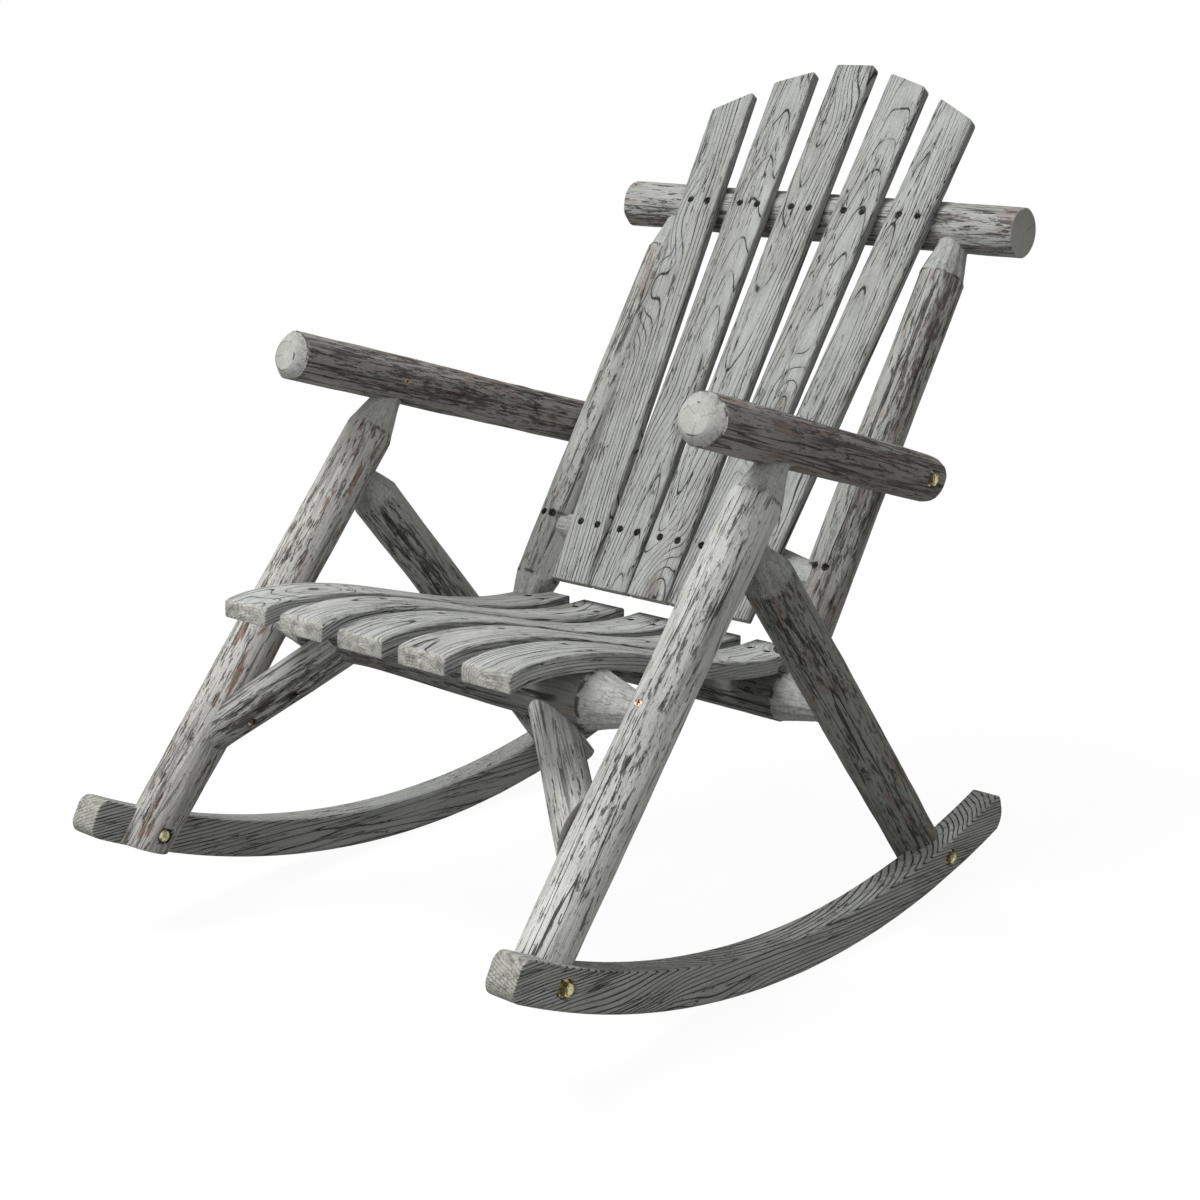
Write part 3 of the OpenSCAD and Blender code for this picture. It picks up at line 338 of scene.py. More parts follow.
def log(name, nodes, start, stop, outline, seed, material, first=flat_end,
        heads=(), cones=(), shape=None, bevels=(1.5, 1.5), spin=None, chamfer=None):
    """A peeled log, turned about the line from start to stop. Its radius follows the outline, read
    between [distance, radius] pairs. The peeled part swells and sinks by about a millimetre, with low
    knots, and each cone, given by its two distances, is cut in long narrow facets. first gives, for
    a place in the cross section, how far along the axis the cut of the first end lies. Both ends are
    rounded by their bevels, or the first is chamfered round a flat that lies off its middle, as
    [radius, shift, shift]. spin turns the timber in the log."""
    start, d, u, v = log_axes(start, stop)
    length = np.linalg.norm(np.asarray(stop, float) - start)
    spots = []
    for middle, _, _, _ in heads:
        away = np.asarray(middle) - start
        spots.append((away @ d, math.atan2(away @ v, away @ u)))
    wide = max([h[2] for h in heads], default=0) + 2
    marks = [o[0] for o in outline if 2 < o[0] < length - 2]
    along = dense(0, length, LOG_STEP, [s for s, _ in spots], wide, LOG_FINE)
    beside = [x + gap for gap in (-MARK_GAP, MARK_GAP) for x in marks]
    along = np.unique(np.concatenate([along, marks, beside]))
    big = max(o[1] for o in outline)
    around = np.linspace(0, 2 * np.pi, LOG_SIDES + 1)[:-1]
    extra = [np.arange(t - wide / big, t + wide / big, LOG_FINE / big) for _, t in spots]
    around = np.unique(np.round(np.concatenate([around] + extra) % (2 * np.pi), 4))
    around = apart(around, LEAST_TURN)
    share = along / length

    def radius(s, t):
        """The outline at s, made uneven at the angle t."""
        r = np.interp(s, [o[0] for o in outline], [o[1] for o in outline])
        ct, st = np.cos(t), np.sin(t)
        carved = np.zeros_like(s)
        for lo, hi in cones:
            into, out = (ease(x / CONE_FADE + 0.5) for x in (s - min(lo, hi), max(lo, hi) - s))
            carved = np.maximum(carved, into * out)
        rng = np.random.default_rng(seed + 5)
        peeled = SWELL[0] * ripple(seed, [ct * 0.9, st * 0.9, s / SWELL[1]]) \
            + RIPPLE[0] * ripple(seed + 1, [ct * 2.6, st * 2.6, s / RIPPLE[1]])
        for _ in range(max(1, int(length / KNOT_EVERY))):
            ks, kt = rng.uniform(0.12, 0.88) * length, rng.uniform(0, 2 * np.pi)
            gap = (t - kt + np.pi) % (2 * np.pi) - np.pi
            near = np.exp(-((s - ks) / KNOT_LONG) ** 2 - (gap * r / KNOT_WIDE) ** 2)
            peeled = peeled + rng.uniform(KNOT_LOW, KNOT_HIGH) * near
        turn = (t + 0.25 * np.sin(3 * t + seed)) * FACETS / (2 * np.pi) % 1 - 0.5
        facet = FACET_DEPTH * (np.cos(np.pi / FACETS) / np.cos(turn * 2 * np.pi / FACETS) - 1) * r \
            + CUTS[0] * ripple(seed + 2, [ct * 3, st * 3, s / CUTS[1]])
        return r + peeled * (1 - carved) + facet * carved, carved

    t = around[None, :]
    r_first, _ = radius(np.zeros_like(t), t)
    cut_first = first(r_first * np.cos(t), r_first * np.sin(t))
    s_body = cut_first + bevels[0] + share[:, None] * (length - bevels[1] - cut_first - bevels[0])
    r_body, carved = radius(s_body, t)

    def end_rows(r_edge, cut, bevel, way):
        """The rows from an end's middle to its rim, as [radius, distance, share of end grain, dark
        line]: the flat cut, then a quarter round to the side."""
        out = []
        for c in END_FLAT:
            rr = (r_edge - bevel) * c
            out.append((rr, cut(rr * np.cos(t), rr * np.sin(t)) + 0 * rr, np.ones_like(rr), 0 * rr))
        for q in END_ROUND:
            ang = q * np.pi / 2
            rr = r_edge - bevel * (1 - math.sin(ang))
            s = cut(rr * np.cos(t), rr * np.sin(t)) + way * bevel * (1 - math.cos(ang))
            out.append((rr, s + 0 * rr, np.full_like(rr, 1 - q * 0.8), 0 * rr))
        return out

    def chamfer_rows(r_edge, depth, flat, du, dv):
        """The rows of a chamfered end: a flat whose middle lies off the axis by (du, dv), then a slope
        to the side, a little hollow, with both of its edges worn round and cracked."""
        uneven = 1 + FLAT_UNEVEN * ripple(seed + 7, [np.cos(t) * 0.8, np.sin(t) * 0.8], 5)
        fu, fv = du + flat * uneven * np.cos(t), dv + flat * uneven * np.sin(t)
        out = []
        for c in FLAT_RINGS:
            out.append((fu * c, fv * c, np.zeros_like(t), np.ones_like(t), np.zeros_like(t)))
        eu, ev = r_edge * np.cos(t), r_edge * np.sin(t)
        for c in SLOPE_RINGS:
            s = depth * (c - SLOPE_HOLLOW * np.sin(np.pi * c)) + EDGE_RISE * max(0.0, EDGE_SHARE - c)
            line = sum(k * math.exp(-((c - at) / wide) ** 2) for k, at, wide in (OUTER_LINE, INNER_LINE))
            out.append((fu + (eu - fu) * c, fv + (ev - fv) * c, np.full_like(t, s),
                        np.full_like(t, 0.94 - 0.3 * c), np.full_like(t, line)))
        return [(np.hypot(x, y), s, e, k, np.arctan2(y, x)) for x, y, s, e, k in out]

    def far_end(a, b):
        """A plain square cut at the far end."""
        return length + 0 * a

    if chamfer is None:
        head_rows = [(*x, t) for x in end_rows(r_body[:1], first, bevels[0], 1)]
    else:
        head_rows = chamfer_rows(r_body[:1], bevels[0], *chamfer)
    tail_rows = [(*x, t) for x in end_rows(r_body[-1:], far_end, bevels[1], -1)[::-1]]
    body = (r_body, s_body, 0 * r_body, 0 * r_body, 0 * r_body + t)
    rows = head_rows + [body] + tail_rows
    rr, ss, end, ring, turn = (np.concatenate([x[c] for x in rows]) for c in range(5))
    carve = np.concatenate([carved if x is body else 0 * x[0] for x in rows])
    for lo, hi in cones:
        ring = np.maximum(ring, np.exp(-((ss - lo) / SEAM_W) ** 2))
    a, b = rr * np.cos(turn), rr * np.sin(turn)
    points = start + ss[..., None] * d + a[..., None] * u + b[..., None] * v
    if shape is not None:
        points = shape(points)
    points, bore_shade_share = seat_heads(points, heads)
    # A bore's floor gets painted shade and a dark stain through this mark
    ring = np.maximum(ring, BORE_SHADE_MARK * bore_shade_share)
    rng = np.random.default_rng(seed + 9)
    lead = rng.uniform(-3, 3)
    spin = rng.uniform(0, 6) if spin is None else spin
    cos, sin = math.cos(spin), math.sin(spin)
    wood = np.stack([a * cos - b * sin, a * sin + b * cos, ss], -1) * MM + np.array([0, 0, lead])
    zone = np.stack([end, carve, ring], -1)
    return skin(name, points, wood, zone, nodes, material)


def board(name, nodes, width, thick, first, last, place, seed, material, pith, step=7.0,
          places=(), across=(), down=(), heads=(), fine=0.8, grain=None):
    """A sawn board. Its cross section is a rectangle of width by thick with worn round corners, and
    is carried from the cut first to the cut last, which give the distance along the board at each
    place (u, w) of the section. place turns (u, w, distance) into a point of the chair. pith says
    where the heart of the tree lay: its place in the section, and its slant along the board.
    grain turns (u, w, distance) into a place in the timber where the grain doesn't follow the board."""
    half, edge = width / 2, BOARD_EDGE
    corner = np.linspace(0, np.pi / 2, 5)
    us = dense(-half + edge, half - edge, FACE_STEP, across, 7.0, fine)[1:-1]
    ws = dense(edge, thick - edge, SIDE_STEP, down, 12.0, fine)[1:-1]

    def rim(cu, cw, turn):
        """A quarter round about (cu, cw) from the angle turn."""
        return np.stack([cu + edge * np.cos(corner + turn), cw + edge * np.sin(corner + turn)], -1)

    section = np.concatenate([
        rim(half - edge, thick - edge, 0), np.stack([us[::-1], np.full(len(us), thick)], -1),
        rim(-half + edge, thick - edge, np.pi / 2), np.stack([np.full(len(ws), -half), ws[::-1]], -1),
        rim(-half + edge, edge, np.pi), np.stack([us, np.zeros(len(us))], -1),
        rim(half - edge, edge, 1.5 * np.pi), np.stack([np.full(len(ws), half), ws], -1)])
    u, w = section[:, 0][None, :], section[:, 1][None, :]
    mid_w = thick / 2
    lo, hi = first(0 * u, mid_w + 0 * w), last(0 * u, mid_w + 0 * w)
    ends = (float(lo.mean()), float(hi.mean()))
    share = (dense(ends[0], ends[1], step, places, 7.0, fine) - ends[0]) / (ends[1] - ends[0])

    def inner(c, inset):
        """The section drawn in towards the board's middle line by the share c and the inset."""
        iu = np.sign(u) * np.maximum(np.abs(u) - inset * (np.abs(u) > half - edge - 0.01), 0)
        iw = mid_w + np.sign(w - mid_w) * np.maximum(
            np.abs(w - mid_w) - inset * (np.abs(w - mid_w) > mid_w - edge - 0.01), 0)
        return iu * c, mid_w + (iw - mid_w) * c

    def end_rows(cut, way):
        """The rows from an end's middle to its rim, as [place, place, distance, share of end grain]:
        the flat cut, then a quarter round to the side."""
        out = []
        for c in (*FLAT_RINGS, 1.0):
            iu, iw = inner(c, END_BEVEL)
            out.append((iu, iw, cut(iu, iw), np.ones_like(iu)))
        for q in RIM_RINGS:
            ang = q * np.pi / 2
            iu, iw = inner(1.0, END_BEVEL * (1 - math.sin(ang)))
            fall = way * END_BEVEL * (1 - math.cos(ang))
            out.append((iu, iw, cut(iu, iw) + fall, np.full_like(iu, 1 - q)))
        return out

    from_l, to_l = first(u, w) + END_BEVEL, last(u, w) - END_BEVEL
    body = [(u, w, from_l + x * (to_l - from_l), 0 * u) for x in share]
    rows = end_rows(first, 1) + body + end_rows(last, -1)[::-1]
    uu, ww, ll, end = (np.concatenate([np.broadcast_to(r[c], u.shape) for r in rows]) for c in range(4))
    worn = LEAST_WEAR + (1 - LEAST_WEAR) * np.abs(ripple(seed, [ll / 90, uu / 60])) ** 2

    def near(reach):
        """How near the board's long edges are, from 0 at the reach to 1."""
        return np.clip((np.abs(uu) - half + reach) / reach, 0, 1) \
            * np.clip((np.abs(ww - mid_w) - mid_w + reach) / reach, 0, 1)

    pu = uu - np.sign(uu) * EDGE_WEAR * worn * near(edge)
    pw = ww - np.sign(ww - mid_w) * EDGE_WEAR * worn * near(edge)
    face = np.clip(1 - (half - np.abs(uu)) / FACE_RIM, 0, 1)
    hollow = FACE_HOLLOW * (1 + ripple(seed + 1, [ll / 120, uu / 40])) * (1 - face)
    pw = pw - np.sign(ww - mid_w) * hollow * (np.abs(ww - mid_w) > mid_w - 0.1)
    points, bore_shade_share = seat_heads(place(pu, pw, ll), heads)
    heart_u, heart_w, slant = pith
    lead = np.random.default_rng(seed + 3).uniform(-3, 3)
    gu, gw, gl = (uu, ww, ll) if grain is None else grain(uu, ww, ll)
    wood = np.stack([gu - heart_u, gw - heart_w + slant * (gl - ends[0]), gl + lead / MM], -1) * MM
    edges = near(WORN_STRIPE)
    # The mark of a bore's floor, for its painted shade and dark stain
    zone = np.stack([end, 0 * end, np.maximum(edges, BORE_SHADE_MARK * bore_shade_share)], -1)
    return skin(name, points, wood, zone, nodes, material)


# Finishes

class Recipe:
    """The nodes of a material or a world, written as sums on sockets."""

    def __init__(self, owner, output="ShaderNodeOutputMaterial"):
        """Starts afresh with the node for that output."""
        owner.use_nodes = True
        self.owner = owner
        self.tree = owner.node_tree
        self.tree.nodes.clear()
        self.out = self.tree.nodes.new(output)

    def put(self, socket, value):
        """Gives the socket a value, or links it to another socket."""
        if isinstance(value, bpy.types.NodeSocket):
            self.tree.links.new(value, socket)
        elif socket.type == "RGBA":
            socket.default_value = (*value, 1)
        else:
            socket.default_value = value

    def sum(self, kind, a, b=0.0, clamp=False):
        """One sum of Blender's Math node, of one value or two."""
        n = self.tree.nodes.new("ShaderNodeMath")
        n.operation = kind
        n.use_clamp = clamp
        self.put(n.inputs[0], a)
        self.put(n.inputs[1], b)
        return n.outputs[0]

    def chain(self, kind, values):
        """One kind of sum over all the values, from the first to the last."""
        total = values[0]
        for value in values[1:]:
            total = self.sum(kind, total, value)
        return total

    def times(self, *values):
        """The product of the values."""
        return self.chain("MULTIPLY", values)

    def plus(self, *values):
        """The total of the values."""
        return self.chain("ADD", values)

    def most(self, *values):
        """The greatest of the values."""
        return self.chain("MAXIMUM", values)

    def less(self, a, b):
        """a less b."""
        return self.sum("SUBTRACT", a, b)

    def about(self, value, strength):
        """How far a value of about a half lies above a half, times the strength."""
        return self.times(self.less(value, 0.5), strength)

    def off_half(self, value):
        """How far a value lies from a half, either way."""
        return self.sum("ABSOLUTE", self.less(value, 0.5))

    def away(self, x, y):
        """How far the place (x, y) lies from zero."""
        return self.sum("SQRT", self.plus(self.times(x, x), self.times(y, y)))

    def band(self, value, low, high, out_low=0.0, out_high=1.0):
        """A smooth step of value from low to high."""
        n = self.tree.nodes.new("ShaderNodeMapRange")
        n.interpolation_type = "SMOOTHSTEP"
        n.clamp = True
        for socket, v in zip(n.inputs[:5], (value, low, high, out_low, out_high)):
            self.put(socket, v)
        return n.outputs[0]

    def stretch(self, vector, scale, shift):
        """The vector, scaled and shifted along each axis."""
        n = self.tree.nodes.new("ShaderNodeMapping")
        self.put(n.inputs["Vector"], vector)
        n.inputs["Scale"].default_value = scale
        n.inputs["Location"].default_value = shift
        return n.outputs[0]

    def noise(self, vector, across, along, detail=2.0, rough=0.5, shift=(0.0, 0.0, 0.0), swirl=0.0):
        """Cloudy noise of about 0.2 to 0.8, with so many waves per metre across and along the timber.
        The shift takes it from another place of the endless noise."""
        n = self.tree.nodes.new("ShaderNodeTexNoise")
        vector = self.stretch(vector, (across, across, along), shift)
        for title, value in (("Vector", vector), ("Scale", 1.0), ("Detail", detail), ("Roughness", rough),
                             ("Distortion", swirl)):
            self.put(n.inputs[title], value)
        return n.outputs["Fac"]

    def blend(self, share, a, b):
        """Colour a, turning into colour b as share grows."""
        n = self.tree.nodes.new("ShaderNodeMix")
        n.data_type = "RGBA"
        self.put(n.inputs[0], share)
        self.put(n.inputs[6], a)
        self.put(n.inputs[7], b)
        return n.outputs[2]

    def layers(self, colour, *coats):
        """The colour under its coats, each a share and a colour, with the last coat on top."""
        for share, coat in coats:
            colour = self.blend(share, colour, coat)
        return colour

    def tinted(self, colour, tone):
        """The colour, made lighter or darker by the tone."""
        n = self.tree.nodes.new("ShaderNodeVectorMath")
        n.operation = "SCALE"
        self.put(n.inputs[0], colour)
        self.put(n.inputs["Scale"], tone)
        return n.outputs[0]

    def parts(self, vector):
        """The three numbers of a vector."""
        n = self.tree.nodes.new("ShaderNodeSeparateXYZ")
        self.put(n.inputs[0], vector)
        return n.outputs[0], n.outputs[1], n.outputs[2]

    def read(self, name):
        """A vector kept on the piece's points."""
        n = self.tree.nodes.new("ShaderNodeAttribute")
        n.attribute_name = name
        return n.outputs["Vector"]

    def finish(self, colour, rough, height, depth, metal=0.0, specular=0.3):
        """The surface of that colour and roughness, with a relief whose height of 1 is depth metres."""
        bump = self.tree.nodes.new("ShaderNodeBump")
        for title, value in (("Strength", 1.0), ("Distance", depth), ("Height", height)):
            self.put(bump.inputs[title], value)
        skin_node = self.tree.nodes.new("ShaderNodeBsdfPrincipled")
        for title, value in (("Base Color", colour), ("Roughness", rough), ("Metallic", metal),
                             ("Specular IOR Level", specular), ("Normal", bump.outputs[0])):
            self.put(skin_node.inputs[title], value)
        self.put(self.out.inputs["Surface"], skin_node.outputs[0])
        return self.owner

    def seen(self):
        """1 where it is seen, straight, in a mirror or through glass, and 0 where it only gives light."""
        path = self.tree.nodes.new("ShaderNodeLightPath")
        return self.most(*(path.outputs[ray] for ray in (
            "Is Camera Ray", "Is Glossy Ray", "Is Transmission Ray")))

    def white_light(self, kind, strength):
        """A white emission or background of that strength."""
        n = self.tree.nodes.new(kind)
        self.put(n.inputs["Color"], (1, 1, 1))
        self.put(n.inputs["Strength"], strength)
        return n.outputs[0]

    def mix(self, share, a, b):
        """Shader a, turning into shader b as share grows, on the recipe's surface."""
        n = self.tree.nodes.new("ShaderNodeMixShader")
        for socket, value in zip(n.inputs, (share, a, b)):
            self.put(socket, value)
        self.put(self.out.inputs["Surface"], n.outputs[0])


def srgb(r, g, b):
    """A colour as seen on screen, 0 to 255, turned into light."""
    return tuple(((c / 255 + 0.055) / 1.055) ** 2.4 if c > 10 else c / 255 / 12.92 for c in (r, g, b))


# Colours that all the finishes share: the floor of a bore, painted shade with a dark stain, brown stains,
# blotches of end grain, worn edges, the heart of a knot and the bare brown wood of a log
BORE_SHADE_AND_STAIN, STAIN, BLOTCH = srgb(22, 21, 20), srgb(134, 124, 108), srgb(124, 122, 116)
WORN_EDGE, KNOT_HEART, BARE_WOOD = srgb(86, 84, 80), srgb(112, 102, 92), srgb(128, 104, 90)

# The values of dark line or worn edge between which a surface turns into a bore's floor of painted shade
# and dark stain
BORE_SHADE_FROM, BORE_SHADE_TO = 1.0, 1.6

# Branches per metre across and along the timber, and how far a knot reaches, as a share of their gap
KNOTS_ACROSS, KNOTS_ALONG, KNOT_REACH = 11, 3.6, 0.42

# Depth of each finish's relief, and the gap between the rings of a log's end, in metres
BOARD_RELIEF, LOG_RELIEF, METAL_RELIEF, LOG_RINGS = 0.0009, 0.0011, 0.0001, 0.0036

# A ring's line never gets thinner on a board's face than this share of its own width
LEAST_LEAN = 0.28


def knots(r, place, shift):
    """How near the closest branch is, from 0 to 1 at its heart."""
    n = r.tree.nodes.new("ShaderNodeTexVoronoi")
    r.put(n.inputs["Vector"], r.stretch(place, (KNOTS_ACROSS, KNOTS_ACROSS, KNOTS_ALONG), shift))
    n.inputs["Scale"].default_value = 1.0
    return r.band(n.outputs["Distance"], 0.0, KNOT_REACH, 1, 0)


def board_finish(name, base, line, brown, spacing, end_tone=(188, 187, 178), wear=0.5, knotty=1.0,
                 flecks=0.5, faintest=0.25, across=0, bold=1.5, flow=1.8):
    """Grey-washed sawn board. Growth rings run round the heart of the tree, and where they cut the
    board's face they show as long arches of thin dark raised grain, which bend round the knots. Fine
    fibres, splits, brown stains and dark specks lie along the grain, and the end grain is paler.
    brown, wear, knotty and flecks are strengths from 0 to 1, and spacing is the gap between rings in
    metres. faintest is the strength of a ring's faintest stretch, and bold its width. across is the
    axis of the section along which the broad face lies, and the lines keep one width on that face. flow
    is how often they wander sideways, per metre."""
    r = Recipe(bpy.data.materials.new(name))
    p = r.read("wood")
    end, _, edge = r.parts(r.read("zone"))
    x, y, _ = r.parts(p)
    heart = r.away(x, y)
    branch = r.times(knots(r, p, (3, 8, 5)), knotty)

    # Growth rings
    lean = r.most(r.sum("DIVIDE", r.sum("ABSOLUTE", (x, y)[across]), heart), LEAST_LEAN)
    waver = r.plus(r.about(r.noise(p, 70, 4), 0.0024), r.about(r.noise(p, 320, 40), 0.0007))
    drift = r.plus(r.about(r.noise(p, 12, flow), 0.024), r.times(lean, lean, waver), r.times(branch, 0.018))
    off = r.off_half(r.sum("FRACT", r.sum("DIVIDE", r.plus(heart, drift), spacing)))
    gate = r.band(r.noise(p, 110, 8, 4, 0.65, (3, 1, 0)), 0.40, 0.53, faintest, 1.0)
    gate = r.most(gate, r.band(branch, 0.15, 0.5))
    thin = r.times(r.band(r.sum("DIVIDE", off, lean), 0.04 * bold, 0.15 * bold, 1, 0), gate)
    soft = r.band(off, 0.0, 0.5, 1, 0)

    # Fibres, splits and specks
    fibre = r.noise(p, 560, 12, 4, 0.65)
    grit = r.noise(p, 800, 240, 3, 0.65)
    split = r.band(r.off_half(r.noise(p, 170, 5, 3, 0.55, (5, 9, 0), 0.3)), 0.004, 0.013, 1, 0)
    split = r.times(split, r.band(r.noise(p, 34, 8, 2, 0.5, (8, 2, 4)), 0.42, 0.50))
    patch = r.band(r.noise(p, 20, 4, 3, 0.6, (4, 4, 9)), 0.50, 0.64)
    speck = r.band(r.noise(p, 300, 60, 3, 0.6, (1, 7, 2)), 0.64, 0.68)
    speck = r.times(speck, r.plus(0.35, r.times(patch, 0.65)))

    # Lightness
    cloud = r.band(r.noise(p, 9, 2.2, 3, 0.55, (2, 6, 1)), 0.3, 0.7, 0.90, 1.08)
    tone = r.plus(cloud, r.about(fibre, 0.95), r.about(grit, 0.6))
    tone = r.less(tone, r.times(soft, r.less(1, end), 0.12))

    # Colour
    blotch = r.times(r.band(r.noise(p, 110, 110, 3, 0.6, (6, 3, 3)), 0.48, 0.62), r.times(end, 0.5))
    rubbed = r.band(r.noise(p, 150, 40, 3, 0.65, (7, 7, 3)), 0.42, 0.56)
    worn = r.times(r.sum("MINIMUM", edge, 1), wear, rubbed)
    colour = r.layers(base, (r.times(patch, brown), STAIN), (r.times(end, 0.8), srgb(*end_tone)),
                      (blotch, BLOTCH), (worn, WORN_EDGE),
                      (r.times(r.band(branch, 0.62, 0.9), 0.55), KNOT_HEART))
    dark = r.times(r.most(thin, split), r.less(1, r.times(end, 0.78)))
    dark = r.sum("MULTIPLY", r.most(dark, r.times(speck, flecks)), 0.93, clamp=True)
    # The last coat paints shade and a dark stain on the floor of each bore
    colour = r.layers(r.tinted(colour, tone), (dark, line), (r.band(edge, BORE_SHADE_FROM, BORE_SHADE_TO), BORE_SHADE_AND_STAIN))

    # Relief
    height = r.less(r.times(fibre, 0.3), r.plus(r.times(thin, 0.7), r.times(split, 1.5)))
    height = r.plus(height, r.less(r.times(grit, 0.25), r.times(speck, 0.3)))
    return r.finish(colour, r.band(tone, 0.6, 1.2, 0.93, 0.80), height, BOARD_RELIEF)


def log_finish(name, base, dark_tone, flake_tone, brown, cracks, flakes, streaks,
               end_tone=(170, 169, 163), carved_tone=(176, 178, 175)):
    """Grey-washed peeled log. Long drying cracks and short dark dashes lie along the grain, and ragged
    flakes of the wash are worn down to brown wood. Carved cones are paler, with fine cuts across the
    grain and a dark line where they start. Sawn ends show growth rings and cracks from the heart.
    brown, cracks, flakes and streaks are strengths from 0 to 1."""
    r = Recipe(bpy.data.materials.new(name))
    p = r.read("wood")
    end, carve, ring = r.parts(r.read("zone"))
    x, y, _ = r.parts(p)
    plain = r.times(r.less(1, r.times(carve, 0.72)), r.less(1, end))

    # Cracks, dashes and streaks
    crack = r.band(r.off_half(r.noise(p, 62, 2.3, 4, 0.5, (3, 5, 0), 0.35)), 0.006, 0.020, 1, 0)
    crack = r.times(crack, r.band(r.noise(p, 30, 5, 2, 0.5, (8, 2, 4)), 0.42, 0.51), plain, cracks)
    dash = r.band(r.noise(p, 260, 38, 4, 0.65, (1, 7, 2)), 0.585, 0.615)
    dash = r.times(dash, r.band(r.noise(p, 18, 6, 2, 0.5, (6, 1, 8)), 0.34, 0.50), plain)
    streak = r.band(r.noise(p, 170, 7, 5, 0.7, (2, 2, 6), 0.3), 0.53, 0.60)
    streak = r.times(streak, r.band(r.noise(p, 16, 3.4, 2, 0.5, (2, 8, 3)), 0.44, 0.60), plain, streaks)

    # Flakes and brown patches, more of them on one side of the log
    patch = r.noise(p, 15, 3.6, 3, 0.6, (4, 4, 9))
    flake = r.plus(r.noise(p, 205, 30, 8, 0.8, (9, 3, 5), 0.3), r.about(patch, 0.30),
                   r.about(r.band(x, 0.002, 0.028), 0.07))
    flake = r.times(r.band(flake, 0.645 - 0.09 * flakes, 0.675 - 0.09 * flakes), plain, 0.95)
    bare = r.plus(r.noise(p, 75, 12, 6, 0.7, (5, 9, 9)), r.about(patch, 0.35))
    bare = r.times(r.band(bare, 0.565, 0.60), brown, plain)

    # Lightness
    fibre = r.noise(p, 420, 9, 4, 0.7)
    grit = r.noise(p, 800, 280, 3, 0.65)
    cuts = r.noise(p, 70, 420, 3, 0.6, (5, 5, 5))
    rough_side = r.less(1, r.times(end, 0.6))
    cloud = r.band(r.noise(p, 11, 2.4, 3, 0.55, (2, 6, 1)), 0.3, 0.7, 0.88, 1.10)
    tone = r.plus(cloud, r.times(r.plus(r.about(fibre, 1.1), r.about(grit, 0.7)), rough_side),
                  r.times(r.less(cuts, 0.5), carve, 0.6))

    # Rings and rays of the sawn ends, and dark lines where a cone or a rim starts
    heart = r.plus(r.away(x, y), r.about(r.noise(p, 60, 1), 0.0025))
    rings = r.off_half(r.sum("FRACT", r.sum("DIVIDE", heart, LOG_RINGS)))
    rings = r.times(r.band(rings, 0.02, 0.2, 1, 0), r.times(end, 0.08))
    ray = r.off_half(r.sum("FRACT", r.times(r.sum("ARCTAN2", y, x), 0.48)))
    ray = r.times(r.band(r.plus(ray, r.times(heart, 0.6)), 0.012, 0.030, 1, 0), r.times(end, 0.4))
    seam = r.times(r.band(ring, 0.25, 0.8), r.band(r.noise(p, 60, 30, 3, 0.6, (9, 9, 1)), 0.48, 0.56),
                   r.less(1, r.times(end, 0.1)))

    # Colour
    colour = r.layers(base, (r.times(carve, 0.75), srgb(*carved_tone)), (bare, BARE_WOOD),
                      (end, srgb(*end_tone)))
    dark = r.most(crack, r.times(dash, 0.85), streak, r.plus(rings, ray), r.times(seam, 0.9))
    dark = r.sum("MULTIPLY", dark, 0.92, clamp=True)
    # The last coat paints shade and a dark stain on the floor of each bore
    colour = r.layers(r.tinted(colour, tone), (r.times(flake, 0.9), srgb(*flake_tone)), (dark, dark_tone),
                      (r.band(ring, BORE_SHADE_FROM, BORE_SHADE_TO), BORE_SHADE_AND_STAIN))

    # Relief
    height = r.times(r.plus(r.times(fibre, 0.45), r.times(grit, 0.3)), rough_side)
    height = r.less(height, r.plus(r.times(crack, 1.6), r.times(dash, 0.6)))
    height = r.plus(height, r.times(cuts, carve, 0.8))
    height = r.less(height, r.plus(r.times(r.most(streak, flake), 0.55), r.times(seam, 1.2),
                                   r.times(rings, 0.15)))
    return r.finish(colour, r.band(tone, 0.6, 1.2, 0.94, 0.82), height, LOG_RELIEF)


def metal_finish(name, base, stain, rough):
    """Plated steel with cloudy tarnish and fine scratches."""
    r = Recipe(bpy.data.materials.new(name))
    place = r.tree.nodes.new("ShaderNodeTexCoord").outputs["Object"]
    tarnish = r.band(r.noise(place, 260, 260, 3, 0.6), 0.42, 0.62)
    fine = r.noise(place, 1400, 1400, rough=0.6)
    return r.finish(r.blend(tarnish, base, stain), r.band(tarnish, 0, 1, rough, rough + 0.25),
                    r.plus(fine, r.times(tarnish, 0.4)), METAL_RELIEF, metal=0.85, specular=0.5)


LEG_LOG = log_finish("leg_log", srgb(202, 203, 198), srgb(46, 44, 41), (82, 77, 72),
                     brown=0.12, cracks=1.0, flakes=0.28, streaks=0.5)
BRACE_LOG = log_finish("brace_log", srgb(202, 203, 199), srgb(36, 34, 32), (70, 66, 61),
                       brown=0.2, cracks=1.0, flakes=0.7, streaks=0.8)
WORN_LOG = log_finish("worn_log", srgb(190, 189, 184), srgb(56, 51, 47), (98, 86, 77),
                      brown=0.85, cracks=0.6, flakes=0.75, streaks=0.35)
RAIL_LOG = log_finish("rail_log", srgb(170, 171, 166), srgb(46, 44, 41), (84, 78, 72),
                      brown=0.4, cracks=0.9, flakes=0.55, streaks=0.6)
# The right rear leg's darker base is painted shade, over its own dark crackle and flakes
SHADED_DARK_LOG = log_finish("dark_log_painted_shade", srgb(140, 142, 135), srgb(34, 32, 30), (64, 60, 55),
                      brown=0.5, cracks=1.0, flakes=0.7, streaks=0.8)
